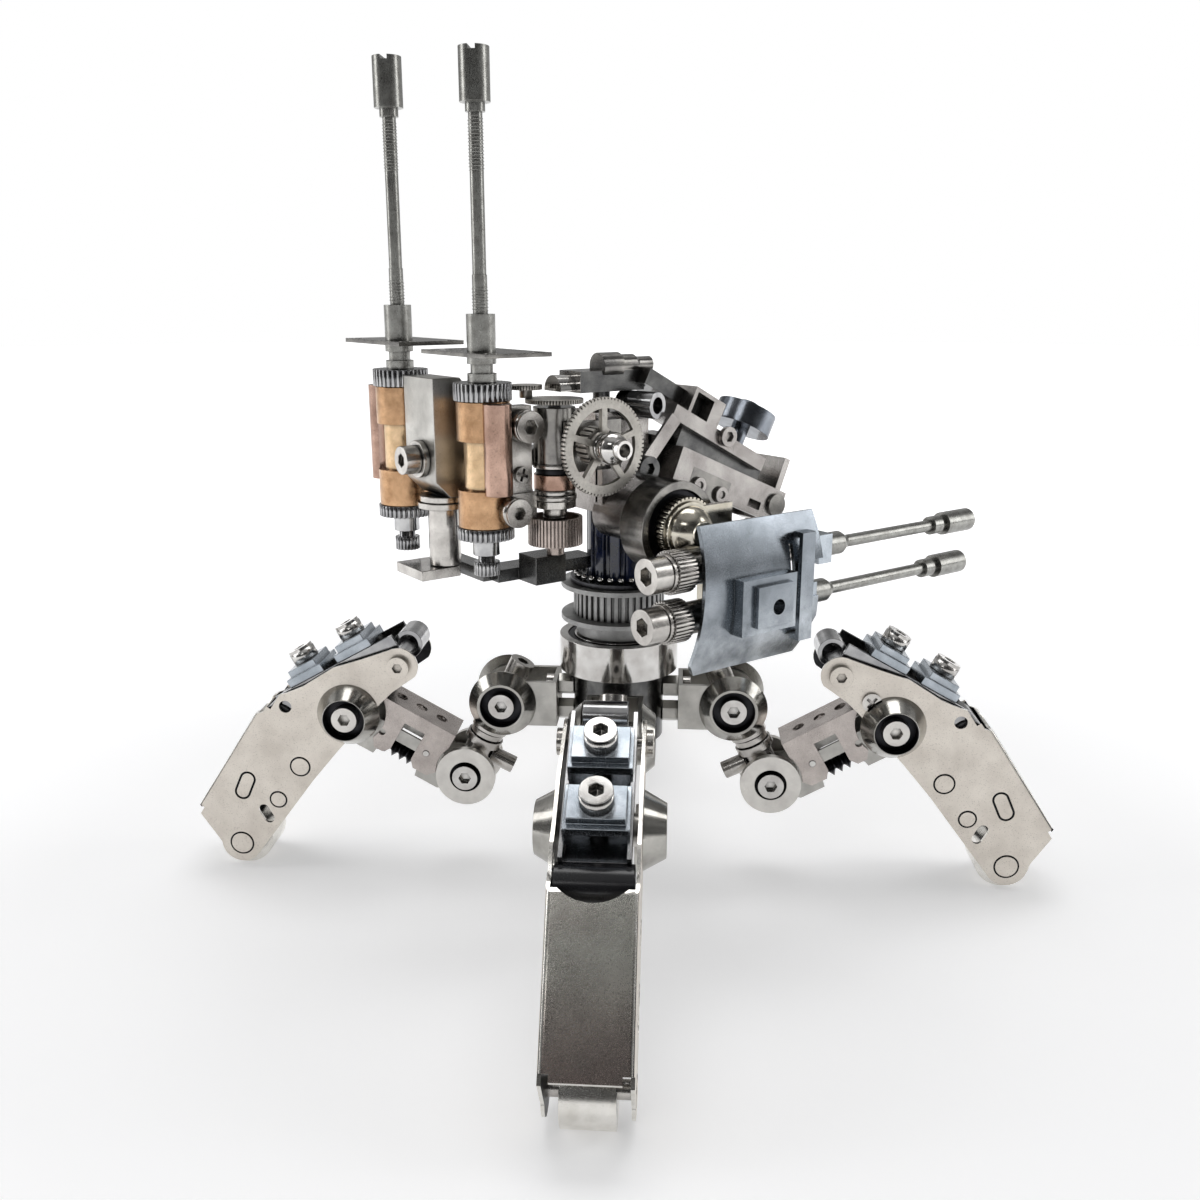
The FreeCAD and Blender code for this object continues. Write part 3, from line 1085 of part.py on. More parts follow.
node(hub_column(), "hub_column")
node(base_bearing(), "base_bearing")
yaw = dim("turret_yaw")
node(timing_pulley(), "timing_pulley", yaw)
node(ball_race(), "ball_race", yaw)
node(turret_core(), "turret_core", yaw)
node(turret_frame(), "turret_frame", yaw)
node(group(gearbox_post(), gear_axle()), "gearbox_post", yaw)
node(spoked_gear(), "spoked_gear", yaw)
node(side_bearing(), "side_bearing", yaw)
node(group(gun_cradle(), shield_mounts()), "gun_cradle", yaw)
node(gun_barrels(), "gun_barrels", yaw)
node(shield_plate(), "shield_plate", yaw)
node(pod_sleeves(), "pod_sleeves", yaw)
node(pod_rings(), "pod_rings", yaw)
node(pod_plates(), "pod_plates", yaw)
node(antenna(pod_axes()[0]), "right_antenna", yaw)
node(antenna(pod_axes()[1]), "left_antenna", yaw)
node(group(pod_clamp(), pod_bridge()), "pod_clamp", yaw)
node(hood_arms(), "hood_arms", yaw)
node(group(hood_fasteners(), hood_top(), threaded_standoff()), "hood_fittings", yaw)


# ------------------------------------------------------------------ check and write

doc.recompute()
os.makedirs("parts", exist_ok=True)
for item in doc.Objects:
    if "Invalid" in item.State or "Error" in item.State:
        raise RuntimeError(f"{item.Label} did not build")
for item in NODES:
    if item.Shape.isNull() or not item.Shape.isValid():
        raise RuntimeError(f"{item.Label} has no valid shape")
for item in NODES:
    item.Shape.exportStep(f"parts/{item.Label}.step")
print(len(NODES), "nodes written")
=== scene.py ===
import json
import math

import bmesh
import bpy
from mathutils import Matrix, Vector


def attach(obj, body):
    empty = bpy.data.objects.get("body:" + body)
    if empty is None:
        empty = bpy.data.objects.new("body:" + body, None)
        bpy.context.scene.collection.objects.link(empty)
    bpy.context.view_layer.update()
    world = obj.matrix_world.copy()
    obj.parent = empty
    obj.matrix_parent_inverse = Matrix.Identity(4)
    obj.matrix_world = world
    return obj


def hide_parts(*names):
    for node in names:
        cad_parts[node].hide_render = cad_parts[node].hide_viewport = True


# Looks of the four-legged walking figure.  Each visual piece starts from the solids of one
# CAD node: they are welded, cleaned and given rounded edges, and every solid or face gets
# its own metal.  Threads and knurls are separate pieces.  Metres, same frame as the CAD.

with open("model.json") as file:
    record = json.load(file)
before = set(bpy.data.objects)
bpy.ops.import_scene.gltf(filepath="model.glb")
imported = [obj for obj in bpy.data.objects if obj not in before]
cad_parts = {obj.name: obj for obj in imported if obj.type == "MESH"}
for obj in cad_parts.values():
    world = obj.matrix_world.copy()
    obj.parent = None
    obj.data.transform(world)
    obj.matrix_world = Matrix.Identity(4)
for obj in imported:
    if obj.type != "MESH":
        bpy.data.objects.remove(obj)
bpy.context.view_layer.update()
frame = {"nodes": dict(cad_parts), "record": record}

MM = 0.001
LEGS = {"right": 0.0, "rear": 90.0, "left": 180.0, "front": 270.0}
TURRET_YAW = 40.0
BODY_OF = {node: body for body, members in frame["record"]["behaviour"]["bodies"].items()
           for node in members}

# reach of the painted shade that darkens corners and crevices, millimetres
CREVICE = 1.6
# mesh cleaning and edge rounding: weld distance in metres, angles in degrees
WELD = 2e-6
FLAT_ANGLE = 0.8
SHARP_ANGLE = 46
# widest rounding as a share of a solid's smallest side
ROUNDING_SHARE = 0.22


# ------------------------------------------------------------------ materials

def add(tree, kind, inputs=None, **settings):
    node = tree.nodes.new(kind)
    for key, value in settings.items():
        setattr(node, key, value)
    for key, value in (inputs or {}).items():
        if isinstance(value, bpy.types.NodeSocket):
            tree.links.new(value, node.inputs[key])
        else:
            node.inputs[key].default_value = value
    return node


def noise(tree, coords, scale, detail=3.0, roughness=0.55, stretch=None):
    """Noise over object coordinates, optionally squeezed along one axis to look brushed."""
    source = coords.outputs["Object"]
    if stretch:
        source = add(tree, "ShaderNodeMapping", {"Vector": source, "Scale": stretch}).outputs[0]
    return add(tree, "ShaderNodeTexNoise", {"Vector": source, "Scale": scale, "Detail": detail,
                                            "Roughness": roughness}).outputs["Fac"]


def remap(tree, value, low, high, to_low=0.0, to_high=1.0):
    return add(tree, "ShaderNodeMapRange", {"Value": value, "From Min": low, "From Max": high,
                                            "To Min": to_low, "To Max": to_high}).outputs[0]


def blend_colours(tree, factor, first, second, mode="MIX"):
    node = add(tree, "ShaderNodeMix", data_type="RGBA", blend_type=mode)
    for socket, value in ((node.inputs[0], factor), (node.inputs[6], first), (node.inputs[7], second)):
        if isinstance(value, bpy.types.NodeSocket):
            tree.links.new(value, socket)
        elif isinstance(value, tuple):
            socket.default_value = (*value, 1.0)
        else:
            socket.default_value = value
    return node.outputs[2]


def metal(name, light, dark, rough, blotch=220.0, grain=0.25, speckle=0.0, brushed=None,
          metallic=1.0, coat=0.0, low=None):
    """Plated or bare metal: cloudy colour, uneven gloss, fine grain, dark specks and painted shade in
    crevices.

    `low` is a second colour that takes over towards the floor between two heights: painted light that
    changes a part's tone with height."""
    material = bpy.data.materials.new(name)
    material.use_nodes = True
    tree = material.node_tree
    shader = tree.nodes["Principled BSDF"]
    shader.inputs["Metallic"].default_value = metallic
    shader.inputs["Coat Weight"].default_value = coat
    coords = add(tree, "ShaderNodeTexCoord")
    if low:
        tint, bottom, top = low
        height = add(tree, "ShaderNodeSeparateXYZ", {0: coords.outputs["Object"]}).outputs["Z"]
        light = blend_colours(tree, remap(tree, height, bottom * MM, top * MM), tint, light)
    cloud = remap(tree, noise(tree, coords, blotch, 4.0), 0.32, 0.68)
    colour = blend_colours(tree, cloud, dark, light)
    if speckle:
        dots = noise(tree, coords, 3400.0, 1.0, 0.4)
        mask = remap(tree, dots, 0.62, 0.72, 0.0, speckle)
        colour = blend_colours(tree, mask, colour, tuple(0.30 * part for part in dark))
    # painted shade: ambient occlusion darkens the colour in corners, crevices and sockets
    crevice = add(tree, "ShaderNodeAmbientOcclusion", {"Distance": CREVICE * MM},
                  only_local=True, samples=6)
    shade = remap(tree, crevice.outputs["AO"], 0.25, 0.85, 0.12, 1.0)
    painted_crevice_shade = add(tree, "ShaderNodeMix", {0: 1.0, 6: colour}, data_type="RGBA", blend_type="MULTIPLY")
    tree.links.new(shade, painted_crevice_shade.inputs[7])
    tree.links.new(painted_crevice_shade.outputs[2], shader.inputs["Base Color"])
    fine = noise(tree, coords, 1500.0 if brushed else 5200.0, 2.0, 0.6, brushed)
    spread = remap(tree, fine, 0.3, 0.7, rough[0], rough[1])
    smudge = remap(tree, noise(tree, coords, 90.0, 3.0), 0.4, 0.75, 0.0, 0.06)
    gloss = add(tree, "ShaderNodeMath", {0: spread, 1: smudge}, operation="ADD").outputs[0]
    tree.links.new(gloss, shader.inputs["Roughness"])
    bump = add(tree, "ShaderNodeBump", {"Height": fine, "Strength": grain, "Distance": 0.00004})
    tree.links.new(bump.outputs[0], shader.inputs["Normal"])
    return material


METALS = {
    "chrome": metal("polished_chrome", (0.66, 0.65, 0.63), (0.48, 0.46, 0.44), (0.07, 0.15),
                    grain=0.08),
    "cone": metal("turned_chrome", (0.46, 0.45, 0.42), (0.30, 0.29, 0.27), (0.10, 0.18),
                  grain=0.12),
    "nickel": metal("bright_nickel", (0.58, 0.56, 0.53), (0.40, 0.38, 0.36), (0.15, 0.27),
                    grain=0.15),
    "satin": metal("satin_steel", (0.52, 0.51, 0.48), (0.38, 0.37, 0.35), (0.24, 0.36), grain=0.2),
    "washer": metal("pale_washer", (0.74, 0.72, 0.68), (0.60, 0.58, 0.55), (0.26, 0.36), grain=0.2),
    "plate": metal("warm_plate", (0.78, 0.73, 0.66), (0.64, 0.59, 0.53), (0.30, 0.40),
                   120.0, 0.35, 0.35),
    # painted reflection: the lower spine takes a brownish pink tint
    "spine": metal("spine_plate", (0.62, 0.63, 0.57), (0.42, 0.39, 0.36), (0.20, 0.30),
                   55.0, 0.35, 0.6,
                   low=((0.57, 0.46, 0.42), 20.0, 38.0)),
    "edge": metal("cut_edge", (0.88, 0.86, 0.82), (0.70, 0.68, 0.63), (0.16, 0.26), grain=0.2),
    "thigh": metal("thigh_nickel", (0.56, 0.51, 0.48), (0.40, 0.36, 0.34), (0.20, 0.32),
                   160.0, 0.25, 0.2),
    "zinc": metal("blue_zinc", (0.50, 0.54, 0.585), (0.30, 0.335, 0.37), (0.16, 0.28), 160.0, 0.2),
    "hook": metal("grey_mirror", (0.46, 0.46, 0.46), (0.30, 0.30, 0.31), (0.10, 0.18), grain=0.1),
    "brass": metal("satin_brass", (0.56, 0.35, 0.20), (0.33, 0.19, 0.10), (0.18, 0.28),
                   260.0, 0.3, 0.25,
                   brushed=(14.0, 14.0, 1.0)),
    "waist": metal("golden_waist", (0.66, 0.48, 0.30), (0.48, 0.33, 0.19), (0.16, 0.26),
                   260.0, 0.3, 0.2,
                   brushed=(14.0, 14.0, 1.0)),
    "copper": metal("copper_pink", (0.50, 0.34, 0.27), (0.27, 0.17, 0.13), (0.14, 0.26),
                    150.0, 0.2, 0.5,
                    brushed=(14.0, 14.0, 1.0)),
    "dark_nickel": metal("dark_nickel", (0.30, 0.29, 0.27), (0.15, 0.145, 0.14), (0.14, 0.24),
                         grain=0.2),
    "gunmetal": metal("gunmetal", (0.16, 0.16, 0.155), (0.07, 0.07, 0.072), (0.16, 0.28),
                      grain=0.2),
    "hood": metal("hood_nickel", (0.46, 0.44, 0.42), (0.28, 0.26, 0.25), (0.16, 0.28),
                  120.0, 0.3, 0.3,
                  brushed=(1.0, 12.0, 12.0)),
    "knob": metal("blue_grey_knob", (0.26, 0.28, 0.31), (0.13, 0.145, 0.17), (0.12, 0.22),
                  grain=0.1),
    "rod": metal("grey_rod", (0.36, 0.36, 0.34), (0.24, 0.235, 0.22), (0.22, 0.32), 500.0, 0.2, 0.3,
                 brushed=(6.0, 6.0, 1.0)),
    "matte": metal("matte_stainless", (0.52, 0.50, 0.46), (0.38, 0.36, 0.33), (0.30, 0.42),
                   500.0, 0.35, 0.4),
    # painted shade: a darker copy of the blue zinc; painted light: the plate turns lighter towards its
    # bottom
    "shield": metal("blue_shield", (0.27, 0.295, 0.325), (0.18, 0.20, 0.22), (0.18, 0.28),
                    120.0, 0.2, 0.2,
                    low=((0.62, 0.66, 0.70), 74.0, 92.0)),
    "gold": metal("golden_chrome", (0.56, 0.53, 0.46), (0.38, 0.35, 0.29), (0.10, 0.20), grain=0.1),
    "pink": metal("pink_nickel", (0.50, 0.43, 0.39), (0.32, 0.27, 0.245), (0.22, 0.34), grain=0.2),
    "pulley": metal("blasted_aluminium", (0.44, 0.44, 0.435), (0.32, 0.32, 0.315), (0.42, 0.55),
                    300.0, 0.5, 0.3),
    "black_steel": metal("black_oxide", (0.07, 0.07, 0.075), (0.03, 0.03, 0.035), (0.18, 0.32),
                         grain=0.2),
    "navy": metal("navy_plastic", (0.014, 0.022, 0.065), (0.005, 0.008, 0.022), (0.08, 0.18),
                  grain=0.1,
                  metallic=0.0, coat=0.4),
    "rubber": metal("black_rubber", (0.014, 0.014, 0.016), (0.006, 0.006, 0.008), (0.14, 0.26),
                    grain=0.2,
                    metallic=0.0),
    # painted shade: near-black metal for recess floors, hole walls, gaps and the shell's inside
    "recess": metal("painted_recess_shade", (0.05, 0.05, 0.055), (0.02, 0.02, 0.022), (0.3, 0.45),
                    grain=0.2),
}


# ------------------------------------------------------------------ refined CAD solids

def islands(shape):
    """Connected groups of faces, one for each solid."""
    seen = set()
    groups = []
    for face in shape.faces:
        if face.index in seen:
            continue
        seen.add(face.index)
        stack = [face]
        members = []
        while stack:
            current = stack.pop()
            members.append(current)
            for edge in current.edges:
                for other in edge.link_faces:
                    if other.index not in seen:
                        seen.add(other.index)
                        stack.append(other)
        groups.append(members)
    return groups


def spread(points):
    low = Vector([min(point[i] for point in points) for i in range(3)])
    high = Vector([max(point[i] for point in points) for i in range(3)])
    return (low + high) / 2, high - low


def rounded(shape, faces, width):
    """Round the sharp edges of one solid; the width shrinks by itself where edges crowd."""
    edges = {edge for face in faces for edge in face.edges}
    sharp = [edge for edge in edges if len(edge.link_faces) == 2
             and edge.calc_face_angle(0.0) > math.radians(SHARP_ANGLE)]
    if not sharp:
        return
    bmesh.ops.bevel(shape, geom=sharp, offset=width, segments=2, profile=0.5, affect="EDGES",
                    clamp_overlap=True, offset_type="OFFSET", material=-1)


def refine(node, turn, painter, width):
    """Visual piece for a CAD node.  The painter names a metal for a solid or for one face.

    It gets the solid's centre and size and the face's centre, normal and corners, in
    millimetres in the local frame (turned back about the hub axis)."""
    back = Matrix.Rotation(-math.radians(turn), 3, "Z")
    shape = bmesh.new()
    shape.from_mesh(frame["nodes"][node].data)
    bmesh.ops.remove_doubles(shape, verts=shape.verts, dist=WELD)
    bmesh.ops.dissolve_limit(shape, angle_limit=math.radians(FLAT_ANGLE), verts=shape.verts,
                             edges=shape.edges)
    shape.faces.index_update()
    layer = shape.faces.layers.int.new("solid")
    solids = []
    for number, faces in enumerate(islands(shape)):
        corners = [back @ vert.co / MM for face in faces for vert in face.verts]
        solids.append(spread(corners))
        for face in faces:
            face[layer] = number
    for number, (centre, size) in enumerate(solids):
        faces = [face for face in shape.faces if face[layer] == number]
        rounded(shape, faces, min(width, ROUNDING_SHARE * min(size)) * MM)
    mesh = bpy.data.meshes.new(f"{node}_look")
    used = []
    for face in shape.faces:
        centre, size = solids[face[layer]]
        corners = [back @ vert.co / MM for vert in face.verts]
        spot = back @ face.calc_center_median() / MM
        name = painter(centre, size, spot, back @ face.normal, corners)
        if name not in used:
            used.append(name)
        face.material_index = used.index(name)
        face.smooth = True
    for edge in shape.edges:
        bend = edge.calc_face_angle(0.0)
        edge.smooth = len(edge.link_faces) == 2 and bend < math.radians(SHARP_ANGLE)
    shape.to_mesh(mesh)
    shape.free()
    for name in used:
        mesh.materials.append(METALS[name])
    piece = bpy.data.objects.new(f"{node}_look", mesh)
    bpy.context.scene.collection.objects.link(piece)
    normals = piece.modifiers.new("even_shading", "WEIGHTED_NORMAL")
    normals.keep_sharp = True
    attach(piece, BODY_OF[node])
    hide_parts(node)
    return piece


def all_in(name):
    return lambda centre, size, spot, normal, corners: name


# leg-local places, millimetres: reach, side, height
HIP = Vector((31.2, 0, 50.9))
MIDDLE = Vector((41.9, 0, 29.4))
KNEE = Vector((73.5, 0, 47.3))
SPINE_NORMAL = Vector((28.6, 0, 18.8)).normalized()
RECESS_RADIUS = 5.75
SHIN_FACE = 9.2
SLEEVE_MIDDLE = 117.1


def within(corners, pivot, radius):
    """Whether a whole face lies inside a radius about a sideways axis."""
    return all(math.hypot(corner.x - pivot.x, corner.z - pivot.z) < radius for corner in corners)


def hip_bracket_paint(centre, size, spot, normal, corners):
    return "satin" if max(size) > 10 else "nickel"


def pivot_paint(centre, size, spot, normal, corners):
    # faces inside the pivot recesses get the painted shade
    if size.x > 10 and centre.z > 40:
        return "recess" if within(corners, HIP, RECESS_RADIUS) else "cone"
    if size.x > 10:
        return "recess" if within(corners, MIDDLE, 4.4) else "washer"
    return "chrome"


def thigh_paint(centre, size, spot, normal, corners):
    return "thigh" if max(size) > 10 else "chrome"


def shell_paint(centre, size, spot, normal, corners):
    # inward faces of the shell get the painted shade, so holes through it look dark
    if abs(normal.y) > 0.7:
        return "plate" if abs(spot.y) > SHIN_FACE - 0.2 else "recess"
    if normal.dot(SPINE_NORMAL) > 0.8 and 15 < spot.z and abs(spot.y) < SHIN_FACE - 0.8:
        return "spine"
    return "edge"


def pins_paint(centre, size, spot, normal, corners):
    # faces inside the knee recess get the painted shade
    if size.x > 14:
        return "recess" if within(corners, KNEE, RECESS_RADIUS) else "cone"
    if size.y > 14:
        return "plate" if abs(normal.y) > 0.7 else "nickel"
    return "washer"


def clamp_paint(centre, size, spot, normal, corners):
    if max(size) > 24:
        return "hook"
    if size.y > 9:
        return "zinc"
    return "chrome"


def roller_paint(centre, size, spot, normal, corners):
    return "rubber" if centre.z > 30 else "edge"


def column_paint(centre, size, spot, normal, corners):
    return "gunmetal" if centre.z > 45 else "satin"


def bearing_paint(centre, size, spot, normal, corners):
    # the solid between 26 and 30 mm across gets the painted shade
    return "recess" if 26 < size.x < 30 else "chrome"


def race_paint(centre, size, spot, normal, corners):
    return "black_steel" if size.x > 10 else "chrome"


def frame_paint(centre, size, spot, normal, corners):
    return "gunmetal" if spot.z < 100 else "hood"


def post_paint(centre, size, spot, normal, corners):
    if centre.z < 104:
        return "pink"
    if 112.2 < centre.z < 116.0 and size.z > 3:
        return "copper"
    # the thin band between the stacked parts gets the painted shade
    if 116.0 < centre.z < 117.5:
        return "recess"
    if size.z > 10:
        return "dark_nickel"
    if centre.z > 132.5:
        return "matte"
    return "nickel"


def gear_paint(centre, size, spot, normal, corners):
    return "chrome" if spot.y < -23.5 else "matte"


def side_bearing_paint(centre, size, spot, normal, corners):
    # the solid between 17 and 19 mm across gets the painted shade
    if 17 < size.x < 19:
        return "recess"
    return "dark_nickel" if size.x > 19 else "nickel"


def cradle_paint(centre, size, spot, normal, corners):
    if size.y > 15:
        return "gold" if spot.x < 0.6 else "nickel"
    return "zinc" if size.z > 7 and size.y > 7 else "nickel"


def gun_paint(centre, size, spot, normal, corners):
    if 7.2 < size.z < 7.6 and any(abs(corner.y - centre.y) > 3.4 for corner in corners):
        return "zinc"
    return "rod" if spot.x > 28 else "nickel"


def sleeve_paint(centre, size, spot, normal, corners):
    lift = centre.z - SLEEVE_MIDDLE
    return "waist" if 111.4 < spot.z - lift < 122.6 else "brass"


def pod_clamp_paint(centre, size, spot, normal, corners):
    if 20 < size.z < 25 and size.x < 9 and size.y < 9:
        return "copper"
    if size.z > 28 and size.y > 12:
        return "satin"
    return "nickel"


def hood_paint(centre, size, spot, normal, corners):
    if spot.y < -18.72 and spot.x > 7.0:
        return "dark_nickel"
    if normal.x > 0.8 and spot.x > 36:
        return "washer"
    if all(-15.2 < corner.y < -6.8 for corner in corners):
        return "gunmetal"
    return "hood"


def fittings_paint(centre, size, spot, normal, corners):
    if size.x > 20:
        if spot.x < -18.95:
            return "chrome"
        return "dark_nickel" if spot.z > 139.7 else "gunmetal"
    if centre.x > 25:
        return "knob"
    if centre.x < -4 and centre.z < 125:
        return "gunmetal"
    return "hook" if size.y > 8 else "hood"


LEG_PAINT = {
    "hip_bracket": hip_bracket_paint, "drop_link": all_in("nickel"), "link_pivots": pivot_paint,
    "thigh_channel": thigh_paint, "thigh_link": all_in("satin"), "spiral_screw": all_in("black_steel"),
    "shin_shell": shell_paint, "shin_pins": pins_paint, "shin_clamps": clamp_paint,
    "shin_rollers": roller_paint,
}
HUB_PAINT = {"hub_column": column_paint, "base_bearing": bearing_paint}
TURRET_PAINT = {
    "timing_pulley": all_in("pulley"), "ball_race": race_paint, "turret_core": all_in("navy"),
    "turret_frame": frame_paint, "gearbox_post": post_paint, "spoked_gear": gear_paint,
    "side_bearing": side_bearing_paint, "gun_cradle": cradle_paint, "gun_barrels": gun_paint,
    "shield_plate": all_in("shield"), "pod_sleeves": sleeve_paint, "pod_rings": all_in("hook"),
    "pod_plates": all_in("dark_nickel"), "right_antenna": all_in("rod"), "left_antenna": all_in("rod"),
    "pod_clamp": pod_clamp_paint, "hood_arms": hood_paint, "hood_fittings": fittings_paint,
}
# rounding of the edges in millimetres, less on parts with a thin rim or step
EDGE_WIDTH = 0.16
THIN_RIMS = {"link_pivots": 0.1, "shin_pins": 0.1, "gun_barrels": 0.1, "hood_fittings": 0.1,
             "spoked_gear": 0.05}


def edge_width(part):
    return THIN_RIMS.get(part, EDGE_WIDTH)


for leg, turn in LEGS.items():
    for part, painter in LEG_PAINT.items():
        refine(f"{leg}_{part}", turn, painter, edge_width(part))
for node, painter in HUB_PAINT.items():
    refine(node, 0.0, painter, edge_width(node))
for node, painter in TURRET_PAINT.items():
    refine(node, TURRET_YAW, painter, edge_width(node))


# ------------------------------------------------------------------ threads and knurls

def piece_from(name, shape, metal_name, node):
    """Extra detail that rides with the body of the CAD node it sits on."""
    mesh = bpy.data.meshes.new(name)
    bmesh.ops.recalc_face_normals(shape, faces=shape.faces)
    for face in shape.faces:
        face.smooth = True
    shape.to_mesh(mesh)
    shape.free()
    mesh.materials.append(METALS[metal_name])
    piece = bpy.data.objects.new(name, mesh)
    bpy.context.scene.collection.objects.link(piece)
    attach(piece, BODY_OF[node])
    return piece


def standing(at, axis, turn):
    """Matrix that stands +Z on a local axis at a local place, in metres, turned about the hub."""
    tilt = axis.to_track_quat("Z", "Y").to_matrix().to_4x4()
    return Matrix.Rotation(math.radians(turn), 4, "Z") @ Matrix.Translation(at * MM) @ tilt


def add_thread(shape, place, radius, depth, pitch, length):
    """Closed helical ridge of triangular section around a rod, tapering to nothing at its ends."""
    steps = 20
    count = max(2, int(length / pitch * steps))
    rings = []
    for index in range(count + 1):
        share = index / count
        angle = 2 * math.pi * index / steps
        height = share * length
        rise = depth * min(1.0, share * 12, (1 - share) * 12)
        section = ((radius - 0.08, -0.36 * pitch), (radius + rise, 0.0), (radius - 0.08, 0.36 * pitch))
        rings.append([shape.verts.new(place @ (Vector((r * math.cos(angle), r * math.sin(angle),
                                                       height + dz)) * MM)) for r, dz in section])
    for first, second in zip(rings, rings[1:]):
        for corner in range(3):
            nxt = (corner + 1) % 3
            shape.faces.new((first[corner], first[nxt], second[nxt], second[corner]))
    shape.faces.new(rings[0])
    shape.faces.new(rings[-1])


def add_ridges(shape, place, radius, tall, count, depth):
    """Closed ring of fine upright ridges round a screw head."""
    inner = radius - 0.35
    loops = []
    for level in (0.0, tall):
        outside = []
        inside = []
        for index in range(2 * count):
            angle = math.pi * index / count
            edge = radius + (depth if index % 2 else 0.0)
            crest = Vector((edge * math.cos(angle), edge * math.sin(angle), level))
            outside.append(shape.verts.new(place @ (crest * MM)))
            root = Vector((inner * math.cos(angle), inner * math.sin(angle), level))
            inside.append(shape.verts.new(place @ (root * MM)))
        loops.append((outside, inside))
    (low_out, low_in), (high_out, high_in) = loops
    total = 2 * count
    for index in range(total):
        after = (index + 1) % total
        shape.faces.new((low_out[index], low_out[after], high_out[after], high_out[index]))
        shape.faces.new((low_in[index], high_in[index], high_in[after], low_in[after]))
        shape.faces.new((high_out[index], high_out[after], high_in[after], high_in[index]))
        shape.faces.new((low_out[index], low_in[index], low_in[after], low_out[after]))


# rod thread: local place of each pod axis, and how far each barrel is raised
POD_AXES = {"right_antenna": (Vector((-40.4, 0.7, 0.0)), 1.8),
            "left_antenna": (Vector((-46.2, 31.7, 0.0)), 3.6)}
UP = Vector((0, 0, 1))
# radius, lower end and length of the two threaded stretches of a rod
ROD_THREADS = ((1.6, 183.0, 12.4), (1.75, 152.6, 5.8))
THREAD_DEPTH = 0.2
THREAD_PITCH = 0.75
KNURL_RIDGES = 44
KNURL_DEPTH = 0.09
for node, (axis, lift) in POD_AXES.items():
    threads = bmesh.new()
    for radius, bottom, length in ROD_THREADS:
        foot = standing(axis + UP * (bottom + lift), UP, TURRET_YAW)
        add_thread(threads, foot, radius, THREAD_DEPTH, THREAD_PITCH, length)
    piece_from(f"{node}_thread", threads, "rod", node)

CLAMP_SCREWS = (Vector((74.5, 0, 69.2)), Vector((88.0, 0, 61.7)))
CLAMP_LEAN = math.radians(29.0)
CLAMP_AXIS = Vector((math.sin(CLAMP_LEAN), 0, math.cos(CLAMP_LEAN)))
for leg, turn in LEGS.items():
    knurls = bmesh.new()
    for screw in CLAMP_SCREWS:
        foot = standing(screw - CLAMP_AXIS * 1.75, CLAMP_AXIS, turn)
        add_ridges(knurls, foot, 3.5, 2.9, KNURL_RIDGES, KNURL_DEPTH)
    piece_from(f"{leg}_head_knurls", knurls, "chrome", f"{leg}_shin_clamps")

# head of each pod screw: place, radius and height
POD_SCREWS = ((Vector((-33.5, -5.25, 128.1)), 3.85, 3.6), (Vector((-37.2, -5.95, 107.9)), 3.5, 3.2))
knurls = bmesh.new()
out = Vector((0, -1, 0))
for screw, radius, tall in POD_SCREWS:
    add_ridges(knurls, standing(screw + out * 0.2, out, TURRET_YAW), radius, tall, KNURL_RIDGES,
               KNURL_DEPTH)
piece_from("pod_head_knurls", knurls, "nickel", "pod_clamp")


# ------------------------------------------------------------------ stage, light, camera

def stage_disc(name, radius, height, colour, roughness, painted_shadow_glow):
    shape = bmesh.new()
    bmesh.ops.create_circle(shape, cap_ends=True, segments=96, radius=radius)
    mesh = bpy.data.meshes.new(name)
    shape.to_mesh(mesh)
    shape.free()
    item = bpy.data.objects.new(name, mesh)
    item.location.z = height
    bpy.context.scene.collection.objects.link(item)
    material = bpy.data.materials.new(name)
    material.use_nodes = True
    tree = material.node_tree
    shader = tree.nodes["Principled BSDF"]
    shader.inputs["Base Color"].default_value = (*colour, 1.0)
    shader.inputs["Roughness"].default_value = roughness
    shader.inputs["Emission Color"].default_value = (1.0, 1.0, 1.0, 1.0)
    coords = add(tree, "ShaderNodeTexCoord")
    reach = add(tree, "ShaderNodeVectorMath", {0: coords.outputs["Object"]}, operation="LENGTH")
    away = reach.outputs["Value"]
    # the floor glows to look evenly bright; the glow is weaker near the centre, a painted shadow under
    # the figure
    tree.links.new(remap(tree, away, 0.16, 0.75, painted_shadow_glow, 1.0), shader.inputs["Emission Strength"])
    mesh.materials.append(material)


stage_disc("floor", 4.0, -0.0002, (0.80, 0.80, 0.81), 0.6, 0.34)


def backdrop(radius, tall):
    """White wall all round that only the camera sees."""
    shape = bmesh.new()
    bmesh.ops.create_cone(shape, cap_ends=True, segments=96, radius1=radius, radius2=radius, depth=tall)
    mesh = bpy.data.meshes.new("backdrop")
    shape.to_mesh(mesh)
    shape.free()
    item = bpy.data.objects.new("backdrop", mesh)
    item.location.z = tall / 2 - 0.5
    bpy.context.scene.collection.objects.link(item)
    material = bpy.data.materials.new("backdrop")
    material.use_nodes = True
    tree = material.node_tree
    tree.nodes.remove(tree.nodes["Principled BSDF"])
    glow = add(tree, "ShaderNodeEmission", {"Color": (1.0, 1.0, 1.0, 1.0), "Strength": 1.0})
    tree.links.new(glow.outputs[0], tree.nodes["Material Output"].inputs["Surface"])
    mesh.materials.append(material)
    item.visible_diffuse = False
    item.visible_glossy = False
    item.visible_shadow = False
    item.visible_transmission = False


backdrop(3.5, 6.0)


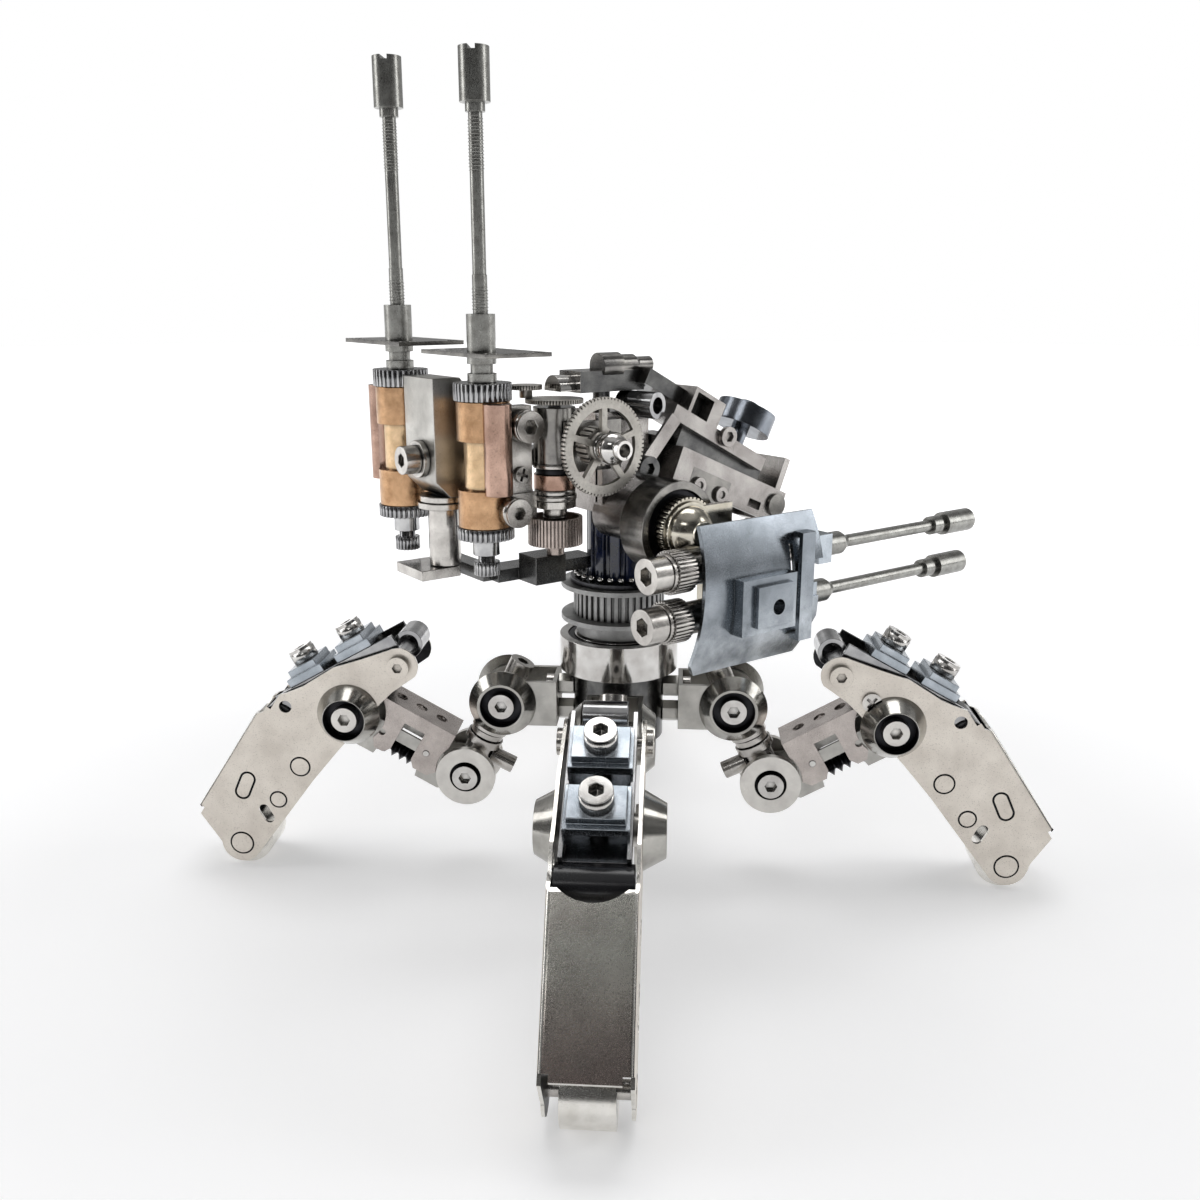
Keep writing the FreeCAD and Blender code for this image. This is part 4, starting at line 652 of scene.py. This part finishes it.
def softbox(name, at, aim, size, power, colour=(1.0, 1.0, 1.0)):
    data = bpy.data.lights.new(name, "AREA")
    data.shape = "RECTANGLE"
    data.size = size[0]
    data.size_y = size[1]
    data.energy = power
    data.color = colour
    lamp = bpy.data.objects.new(name, data)
    lamp.location = at
    lamp.rotation_euler = (Vector(aim) - Vector(at)).to_track_quat("-Z", "Y").to_euler()
    bpy.context.scene.collection.objects.link(lamp)


CENTRE = (0.0, 0.0, 0.09)
softbox("top", (0.0, 0.30, 1.15), CENTRE, (0.8, 0.45), 3.6)
softbox("left", (-1.0, -0.10, 0.50), CENTRE, (0.35, 0.8), 2.6)
softbox("right", (1.05, 0.05, 0.55), CENTRE, (0.3, 0.8), 2.6)
softbox("front", (-0.35, -1.0, 0.95), CENTRE, (0.5, 0.16), 1.0)

world = bpy.data.worlds.new("room")
bpy.context.scene.world = world
world.use_nodes = True
tree = world.node_tree
sky = add(tree, "ShaderNodeTexCoord")
axes = add(tree, "ShaderNodeSeparateXYZ", {0: sky.outputs["Generated"]})
front = remap(tree, axes.outputs["Y"], -0.7, 0.45, 0.10, 0.80)
patches = add(tree, "ShaderNodeTexNoise", {"Vector": sky.outputs["Generated"], "Scale": 2.4,
                                           "Detail": 2.0})
uneven = remap(tree, patches.outputs["Fac"], 0.40, 0.60, 0.30, 1.15)
around = add(tree, "ShaderNodeMath", {0: front, 1: uneven}, operation="MULTIPLY").outputs[0]
overhead = remap(tree, axes.outputs["Z"], 0.70, 0.90, 0.0, 0.60)
level = add(tree, "ShaderNodeMath", {0: around, 1: overhead}, operation="MAXIMUM").outputs[0]
background = tree.nodes["Background"]
tree.links.new(level, background.inputs["Color"])
background.inputs["Strength"].default_value = 0.80

camera_data = bpy.data.cameras.new("camera")
camera_data.sensor_width = 36.0
camera_data.lens = 34.5
camera = bpy.data.objects.new("camera", camera_data)
camera.location = (0.0148, -0.2995, 0.1594)
camera.rotation_euler = (math.radians(74.91), 0.0, math.radians(3.806))
bpy.context.scene.collection.objects.link(camera)
bpy.context.scene.camera = camera
bpy.context.scene.view_settings.view_transform = "Standard"
